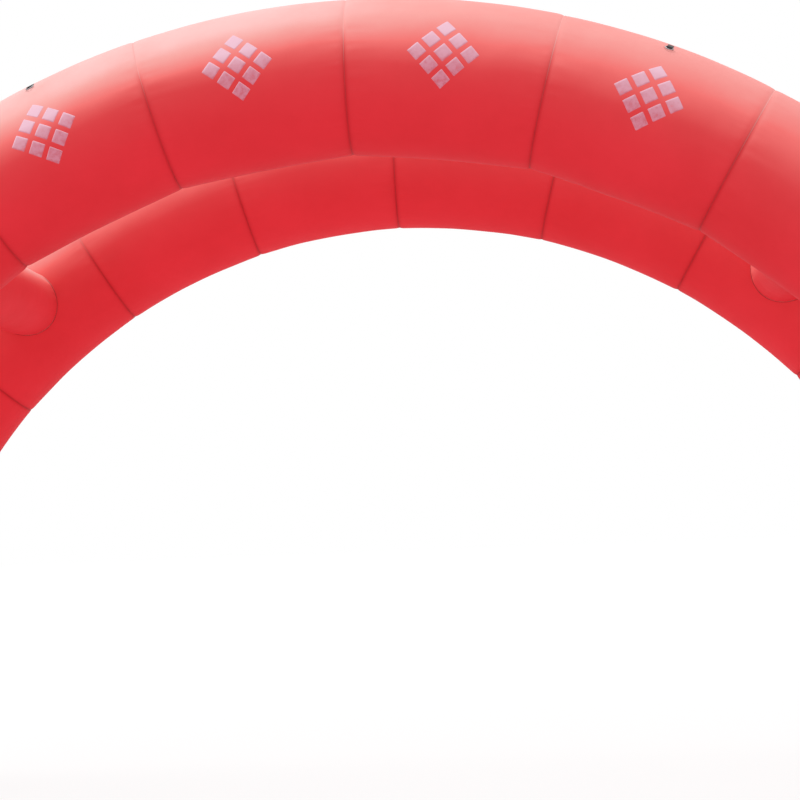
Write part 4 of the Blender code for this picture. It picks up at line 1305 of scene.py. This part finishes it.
def walled(mesh, thickness):
    """The shell closed along its seams, with a wall inwards of its faces."""
    bm = bmesh.new()
    bm.from_mesh(mesh)
    bmesh.ops.remove_doubles(bm, verts=bm.verts, dist=MERGE / 2)
    bmesh.ops.recalc_face_normals(bm, faces=bm.faces)
    turn_outward(bm, sum((vert.co for vert in bm.verts), Vector()) / len(bm.verts))
    holder = placed("walled", plain_mesh(bm, mesh.materials[0]))
    wall = holder.modifiers.new("wall", "SOLIDIFY")
    wall.thickness = thickness
    wall.offset = -1
    thick = baked(holder)
    thick.shade_smooth()
    return thick


def rounded_path(corners, radius, steps=CORNER_STEPS):
    """A line through the corners with each inner corner rounded."""
    corners = [Vector(corner) for corner in corners]
    path = [corners[0]]
    for before, here, after in zip(corners, corners[1:], corners[2:]):
        start, end = here + (before - here).normalized() * radius, here + (after - here).normalized() * radius
        for share in (step / steps for step in range(steps + 1)):
            path.append(start * (1 - share) ** 2 + here * 2 * share * (1 - share) + end * share**2)
    return path + [corners[-1]]


blower_plastic = moulded("blower_plastic", BLUE_DEEP, BLUE, 0.42)
rubber = moulded("rubber", RUBBER_DARK, RUBBER_DUSTY, 0.7, 260, 0.0002)
screw_steel = steel_finish("screw_steel", SCREW_DARK, SCREW_LIGHT, 0.35)
screw_shape, rib_shape = screw_tree(), rib_tree()
wheel_low, wheel_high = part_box("impeller_right")
axle_y, axle_height = (wheel_low.y + wheel_high.y) / 2, (wheel_low.z + wheel_high.z) / 2
inlet_half, motor_half = scroll_half(INLET_RADIUS), scroll_half(SHAFT_HOLE)
motor_half.transform(Matrix.Diagonal((-1, 1, 1, 1)))
scroll = walled(joined([inlet_half, motor_half]), CASE_WALL)
lead, foot, top = GRIP_LENGTH / 2, SCROLL_BIG - GRIP_WIRE, SCROLL_BIG + GRIP_RISE
bow = rounded_path([(0, -lead, foot), (0, -lead, top), (0, lead, top), (0, lead, foot)], GRIP_CORNER)
outline = scroll_outline(SCREW_INSET)
picks = outline[2 :: (len(outline) - 3) // CASE_SCREWS]
for side, sign in side_sign.items():
    axle = Matrix.Translation((sign * sleeve_x, axle_y, axle_height))
    rails, ribs, pads, heads = [], [], [], []
    for x_sign in (-1, 1):
        x = x_sign * (CASE_WIDTH / 2 - RAIL_INSET - RAIL[0] / 2)
        rails.append(soft_box(RAIL, RAIL_CORNER, blower_plastic, (x, 0, RAIL[2] / 2 - axle_height)))
        ribs.append(ribbed(RIBS, RIB_RADIUS, RIB, blower_plastic))
        ribs[-1].transform(Matrix.Translation((x_sign * CASE_WIDTH / 2, 0, 0)) @ Matrix.Rotation(pi / 2, 4, "Y"))
        for y_sign in (-1, 1):
            y = y_sign * (RAIL[1] / 2 - PAD[1] / 2 + PAD_PAST)
            pads.append(soft_box(PAD, PAD_CORNER, rubber, (x, y, PAD[2] / 2 - axle_height)))
        heads.append(screws([(x_sign * CASE_WIDTH / 2, *place) for place in picks], (x_sign, 0, 0)))
    handle = taped(bow, GRIP_WIRE, GRIP_WIRE, blower_plastic, False, 20)
    whole = joined([scroll, *rails, *ribs, handle])
    whole.set_sharp_from_angle(angle=CASE_SHARP)
    name = f"blower_case_{side}"
    show(f"{name}_shell", whole, "arch", name, slot="blower_plastic", at=axle)

    def grip_spot(along, around):
        rib = GRIP_RIB * (0.5 - 0.5 * cos(tau * GRIP_RIBS * along))
        swell_by = min(1, GRIP_END_RISE * min(along, 1 - along)) ** 0.5
        radius = GRIP_WIRE * GRIP_CORE_SHARE + (GRIP_RUBBER + rib) * swell_by
        y = (along - 0.5) * (GRIP_LENGTH - 2 * GRIP_CORNER)
        return axle @ Vector((radius * sin(tau * around), y, top + radius * cos(tau * around)))

    grip = skin(GRIP_RIBS * GRIP_RIB_ROWS, GRIP_COLUMNS, grip_spot, rubber, axle @ Vector((0, 0, top)))
    show(f"blower_grip_{side}", grip, "arch")
    show(f"blower_pads_{side}", joined(pads), "arch", at=axle)
    show(f"blower_screws_{side}", joined(heads), "arch", at=axle)

# Outlet collars
# A collar of the same plastic is screwed on the case's mouth. Its square plate stays in sight, and its pipe
# goes into the sleeve.
COLLAR_PLATE = 0.006
COLLAR_INSET = 0.012
for side in side_sign:
    name = f"outlet_collar_{side}"
    dress(name, blower_plastic)
    low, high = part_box(name)
    columns, rows = ((least + COLLAR_INSET, most - COLLAR_INSET) for least, most in ((low.x, high.x), (low.z, high.z)))
    places = [(x, low.y + COLLAR_PLATE, z) for x in columns for z in rows]
    show(f"{name}_screws", screws(places, (0, 1, 0)), "arch")

# Inlet guards
# A guard of black painted steel wire is screwed over each inlet: a flat rim, rings and six bars.
GUARD_RIM = 0.016
GUARD_RIM_PAST = 0.002
GUARD_THICKNESS = 0.005
GUARD_WIRE = 0.0019
GUARD_WIRE_SIDES = 10
GUARD_STEPS = (96, 72)
GUARD_RING_SHARES = (0.31, 0.48, 0.66, 0.83)
GUARD_BARS = 6
GUARD_BAR_SHARES = (GUARD_RING_SHARES[0], 0.55, 0.8, 1.02)
GUARD_SCREWS = 4
GUARD_DARK = (0.02, 0.02, 0.021, 1)
GUARD_LIGHT = (0.05, 0.05, 0.052, 1)
guard_steel = steel_finish("guard_steel", GUARD_DARK, GUARD_LIGHT, 0.4, 0.2)
rim_middle = INLET_RADIUS + GUARD_RIM / 2 - GUARD_RIM_PAST
rim_section = GUARD_THICKNESS / 2, GUARD_RIM / 2 + GUARD_RIM_PAST
wire = GUARD_WIRE, GUARD_WIRE, guard_steel
for side, sign in side_sign.items():
    face = Matrix.Translation((sign * sleeve_x + CASE_WIDTH / 2 + SEWN_GAP, axle_y, axle_height))
    face = face @ Matrix.Rotation(pi / 2, 4, "Y")
    wires = [taped(circle(rim_middle, GUARD_THICKNESS / 2, GUARD_STEPS[0]), *rim_section, guard_steel)]
    for share in GUARD_RING_SHARES:
        wires.append(taped(circle(share * INLET_RADIUS, GUARD_WIRE, GUARD_STEPS[1]), *wire, sides=GUARD_WIRE_SIDES))
    for turn in (tau * bar / GUARD_BARS for bar in range(GUARD_BARS)):
        outwards = Vector((cos(turn), sin(turn), 0)) * INLET_RADIUS
        bar = [outwards * share + Vector((0, 0, 2 * GUARD_WIRE)) for share in GUARD_BAR_SHARES]
        wires.append(taped(bar, *wire, False, GUARD_WIRE_SIDES))
    name = f"inlet_guard_{side}"
    show(f"{name}_wire", joined(wires), "arch", name, slot="guard_steel", at=face)
    show(f"{name}_screws", screws(circle(rim_middle, GUARD_THICKNESS, GUARD_SCREWS), (0, 0, 1)), "arch", at=face)

# Impellers
# The impeller is moulded in black plastic on a steel shaft, and turns behind the guard.
IMPELLER_DARK = (0.014, 0.014, 0.015, 1)
IMPELLER_GREY = (0.04, 0.04, 0.042, 1)
impeller_plastic = moulded("impeller_plastic", IMPELLER_DARK, IMPELLER_GREY, 0.5)
for side in side_sign:
    dress(f"impeller_{side}", impeller_plastic)

# Motors
# The motor is a finned aluminium casting, bolted by its flange to the case. It closes with a pressed cap that
# has a ring of slots, drawn as thin black blocks on the cap: painted shade for the openings.
MOTOR_RADIUS = 0.062
MOTOR_LENGTH = 0.115
MOTOR_FLANGE_RADIUS = 0.078
MOTOR_FLANGE = 0.008
MOTOR_BORE = 0.0085
MOTOR_CHAMFER = 0.001
MOTOR_FILLET = 0.003
MOTOR_ROUNDING = 0.012
MOTOR_ROUNDING_STEPS = 6
MOTOR_SCREWS = 6
CAP_STEP = 0.084
CAP_GROOVE = (0.036, 0.035, 0.03, 0.029)
CAP_GROOVE_DEPTH = 0.0015
CAP_MIDDLE = 0.012
FIN = (0.0032, 0.0022, 0.07)
FIN_START = 0.004
FINS = 36
SLOT = (0.011, 0.0028, 0.0006)
SLOT_RADIUS = 0.043
SLOTS = 24
MOTOR_COLUMNS = 96
SHARP = radians(35)
CAST_DARK = (0.3, 0.305, 0.31, 1)
CAST_LIGHT = (0.4, 0.405, 0.41, 1)


def motor_spot(along, around):
    radius, height = motor_profile[round(along * (len(motor_profile) - 1))]
    return Vector((radius * cos(tau * around), radius * sin(tau * around), height))


motor_metal = steel_finish("motor_metal", CAST_DARK, CAST_LIGHT, 0.5, 0.5, 260)
core = MOTOR_RADIUS - FIN[0] / 2
groove_floor = MOTOR_LENGTH - CAP_GROOVE_DEPTH
motor_profile = [
    (MOTOR_BORE, 0),
    (MOTOR_FLANGE_RADIUS - MOTOR_CHAMFER, 0),
    (MOTOR_FLANGE_RADIUS, MOTOR_CHAMFER),
    (MOTOR_FLANGE_RADIUS, MOTOR_FLANGE - MOTOR_CHAMFER),
    (MOTOR_FLANGE_RADIUS - MOTOR_CHAMFER, MOTOR_FLANGE),
    (core + MOTOR_FILLET, MOTOR_FLANGE),
    (core, MOTOR_FLANGE + MOTOR_FILLET),
    (core, CAP_STEP),
    (MOTOR_RADIUS, CAP_STEP + MOTOR_CHAMFER),
    (MOTOR_RADIUS, MOTOR_LENGTH - MOTOR_ROUNDING),
]
for step in range(1, MOTOR_ROUNDING_STEPS + 1):
    turn = pi / 2 * step / MOTOR_ROUNDING_STEPS
    motor_profile.append(
        (MOTOR_RADIUS - MOTOR_ROUNDING * (1 - cos(turn)), MOTOR_LENGTH - MOTOR_ROUNDING * (1 - sin(turn)))
    )
motor_profile += zip(CAP_GROOVE, (MOTOR_LENGTH, groove_floor, groove_floor, MOTOR_LENGTH))
motor_profile += [(CAP_MIDDLE, MOTOR_LENGTH), (0, MOTOR_LENGTH)]
motor_middle = Vector((0, 0, MOTOR_LENGTH / 2))
bolt_circle = circle((MOTOR_RADIUS + MOTOR_FLANGE_RADIUS) / 2, MOTOR_FLANGE, MOTOR_SCREWS)
for side, sign in side_sign.items():
    face = Matrix.Translation((sign * sleeve_x - CASE_WIDTH / 2 - SEWN_GAP, axle_y, axle_height))
    face = face @ Matrix.Rotation(-pi / 2, 4, "Y")
    name = f"blower_motor_{side}"
    # Black blocks on the cap stand for the slots: painted shade where the openings would be.
    slot_shades = ribbed(SLOTS, SLOT_RADIUS, SLOT, guard_steel)
    show(f"{name}_slots", slot_shades, "arch", at=face @ Matrix.Translation((0, 0, MOTOR_LENGTH)))
    fins = ribbed(FINS, core, FIN, motor_metal)
    fins.transform(Matrix.Translation((0, 0, MOTOR_FLANGE + FIN_START + FIN[2] / 2)))
    motor = joined([skin(len(motor_profile) - 1, MOTOR_COLUMNS, motor_spot, motor_metal, motor_middle), fins])
    motor.set_sharp_from_angle(angle=SHARP)
    show(f"{name}_casting", motor, "arch", name, slot="motor_metal", at=face)
    show(f"{name}_screws", screws(bolt_circle, (0, 0, 1)), "arch", at=face)

# Switch boxes and rockers
# A black box above the motor holds the switch. Four screws hold it, a raised frame guards the rocker, and the
# rocker bears the plain marks for on and off.
BOX_DEPTH = 0.045
BOX_WIDTH = 0.09
BOX_HEIGHT = 0.08
BOX_RISE = 0.13
BOX_SCREW_INSET = 0.009
BOX_SCREW = (0.0035, 0.0018)
ROCKER = (0.008, 0.014, 0.022)
ROCKER_CORNER = 0.0016
ROCKER_TILT = radians(8)
FRAME_GAP = (0.0016, 0.003)
FRAME_CORNER = 0.002
FRAME_CORNER_STEPS = 4
FRAME_WIRE = 0.0014
OFF_RADIUS = 0.0022
OFF_HEIGHT = 0.0055
OFF_STEPS = 24
ON_ENDS = (-0.0078, -0.0035)
MARK_WIRE = 0.0004
MARK_LIFT = 0.0001
SWITCH_DARK = (0.013, 0.013, 0.014, 1)
SWITCH_GREY = (0.032, 0.032, 0.034, 1)
ROCKER_RED = (0.5, 0.016, 0.014, 1)
ROCKER_BRIGHT = (0.62, 0.03, 0.022, 1)
PRINT_GREY = (0.6, 0.6, 0.59, 1)
PRINT_WHITE = (0.75, 0.75, 0.74, 1)
switch_plastic = moulded("switch_plastic", SWITCH_DARK, SWITCH_GREY, 0.5, 700, 0.00012)
rocker_plastic = moulded("rocker_plastic", ROCKER_RED, ROCKER_BRIGHT, 0.32)
white_print = moulded("white_print", PRINT_GREY, PRINT_WHITE, 0.5)
half_y, half_z = ROCKER[1] / 2 + FRAME_GAP[0], ROCKER[2] / 2 + FRAME_GAP[1]
frame_corners = [(0, 0, -half_z), (0, half_y, -half_z), (0, half_y, half_z), (0, -half_y, half_z)]
frame_corners += [(0, -half_y, -half_z), (0, 0, -half_z)]
frame_path = rounded_path(frame_corners, FRAME_CORNER, FRAME_CORNER_STEPS)[:-1]
screw_y, screw_z = BOX_WIDTH / 2 - BOX_SCREW_INSET, BOX_HEIGHT / 2 - BOX_SCREW_INSET
box_places = [(0, y * screw_y, z * screw_z) for y in (-1, 1) for z in (-1, 1)]
front = -ROCKER[0] / 2 - MARK_LIFT
off_mark = [(front, y, OFF_HEIGHT + z) for y, z, _ in circle(OFF_RADIUS, steps=OFF_STEPS)]
on_mark = [(front, 0, height) for height in ON_ENDS]
for side, sign in side_sign.items():
    dress(f"switch_box_{side}", switch_plastic)
    face_x = sign * sleeve_x - CASE_WIDTH / 2 - SEWN_GAP - BOX_DEPTH
    face = Matrix.Translation((face_x, axle_y, axle_height + BOX_RISE))
    guard = taped(frame_path, FRAME_WIRE, FRAME_WIRE, switch_plastic, sides=10)
    show(f"switch_box_{side}_frame", guard, "arch", at=face)
    show(f"switch_box_{side}_screws", screws(box_places, (-1, 0, 0), *BOX_SCREW), "arch", at=face)
    turn = face @ Matrix.Rotation(-ROCKER_TILT, 4, "Y")
    cap = soft_box(ROCKER, ROCKER_CORNER, rocker_plastic)
    name = f"rocker_switch_{side}"
    show(f"{name}_cap", cap, f"rocker_{side}", name, slot="rocker_plastic", at=turn)
    marks = [taped(mark, MARK_WIRE, MARK_WIRE, white_print, mark is off_mark, 8) for mark in (off_mark, on_mark)]
    show(f"{name}_marks", joined(marks), f"rocker_{side}", at=turn)

# Cable glands
# The mains cable enters each box through a gland: a six-sided nut and a ribbed rubbery nose. No cable is
# plugged in.
GLAND_RADIUS = 0.012
GLAND_NUT = 0.008
GLAND_NUT_CHAMFER = (0.0105, 0.001, 0.3)
GLAND_ROOT_RADIUS = 0.0098
GLAND_NOSE_RADIUS = 0.008
GLAND_NOSE = 0.016
GLAND_BORE = 0.0045
GLAND_LIP = 0.0008
GLAND_RIBS = 4
GLAND_RIB = 0.0007
GLAND_STEPS = GLAND_RIBS * 8
GLAND_COLUMNS = 72
# Radius, height, and how far the row is six-sided
gland_rows = [
    (GLAND_BORE, GLAND_NUT, 0),
    (GLAND_RADIUS, GLAND_NUT, 1),
    (GLAND_RADIUS, GLAND_NUT_CHAMFER[1], 1),
    (GLAND_NUT_CHAMFER[0], 0, GLAND_NUT_CHAMFER[2]),
]
for share in (step / GLAND_STEPS for step in range(GLAND_STEPS + 1)):
    rib = GLAND_RIB * (0.5 - 0.5 * cos(tau * GLAND_RIBS * share))
    radius = GLAND_ROOT_RADIUS + (GLAND_NOSE_RADIUS - GLAND_ROOT_RADIUS) * share + rib
    gland_rows.append((radius, -GLAND_NOSE * share, 0))
gland_rows += [
    (GLAND_BORE + GLAND_LIP, -GLAND_NOSE, 0),
    (GLAND_BORE, -GLAND_NOSE + GLAND_LIP, 0),
    (GLAND_BORE, GLAND_NUT, 0),
]


def gland_spot(along, around):
    radius, height, hexagon = gland_rows[round(along * (len(gland_rows) - 1))]
    turn = tau * around
    flat_side = cos(pi / 6) / cos((turn + pi / 6) % (pi / 3) - pi / 6)
    radius *= 1 + hexagon * (flat_side - 1)
    return seat @ Vector((radius * cos(turn), radius * sin(turn), height))


for side, sign in side_sign.items():
    end_x = sign * sleeve_x - CASE_WIDTH / 2 - SEWN_GAP - BOX_DEPTH / 2
    seat = Matrix.Translation((end_x, axle_y - BOX_WIDTH / 2 - SEWN_GAP - GLAND_NUT, axle_height + BOX_RISE))
    seat = seat @ Matrix.Rotation(-pi / 2, 4, "X")
    middle = seat @ Vector((0, 0, -GLAND_NOSE / 3))
    gland = skin(len(gland_rows) - 1, GLAND_COLUMNS, gland_spot, switch_plastic, middle)
    gland.set_sharp_from_angle(angle=SHARP)
    name = f"cable_gland_{side}"
    show(f"{name}_body", gland, "arch", name, slot="switch_plastic")

# Floor and light
# A plain white floor that keeps the object's shadow, a white surround, and one broad soft light from above
# and behind on the left, where the sun stood.
FLOOR_SIZE = 400
FLOOR_COLOUR = (0.9, 0.9, 0.9, 1)
FLOOR_WHITE_SHARE = 0.85
WHITE = (1, 1, 1, 1)
SKY_STRENGTH = 0.78
SUN_STRENGTH = 1.3
SUN_ANGLE = radians(50)
SUN_TILT = (radians(-12), radians(-22), 0)


def plain_rays(tree):
    """1 for what the camera, a gloss or a clear piece sees of the surround, and 0 for the light it gives."""
    path = tree.nodes.new("ShaderNodeLightPath")
    seen = Number(tree, path.outputs["Is Camera Ray"])
    seen = seen.step("MAXIMUM", path.outputs["Is Glossy Ray"])
    return seen.step("MAXIMUM", path.outputs["Is Transmission Ray"])


world = bpy.data.worlds.new("surround")
bpy.context.scene.world = world
world.use_nodes = True
sky = world.node_tree.nodes["Background"]
sky.inputs[0].default_value = WHITE
sky_light = plain_rays(world.node_tree) * (1 - SKY_STRENGTH) + SKY_STRENGTH
world.node_tree.links.new(sky_light.socket, sky.inputs[1])

floor_finish, floor_tree, floor_shader = new_finish("floor", 0.9, Base_Color=FLOOR_COLOUR)
white = node(floor_tree, "ShaderNodeEmission", WHITE, 1)
share = plain_rays(floor_tree) * FLOOR_WHITE_SHARE
floor_mix = node(floor_tree, "ShaderNodeMixShader", share, floor_shader.outputs[0], white)
floor_tree.links.new(floor_mix, floor_tree.nodes["Material Output"].inputs[0])
bm = bmesh.new()
bmesh.ops.create_grid(bm, x_segments=1, y_segments=1, size=FLOOR_SIZE / 2)
floor = placed("floor", plain_mesh(bm, floor_finish))
floor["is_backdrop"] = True

sun_data = bpy.data.lights.new("sun", "SUN")
sun_data.energy = SUN_STRENGTH
sun_data.angle = SUN_ANGLE
sun = placed("sun", sun_data)
sun.rotation_euler = SUN_TILT

low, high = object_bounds()
{"cad": [list(cad_low), list(cad_high)], "visual": [list(low), list(high)]}
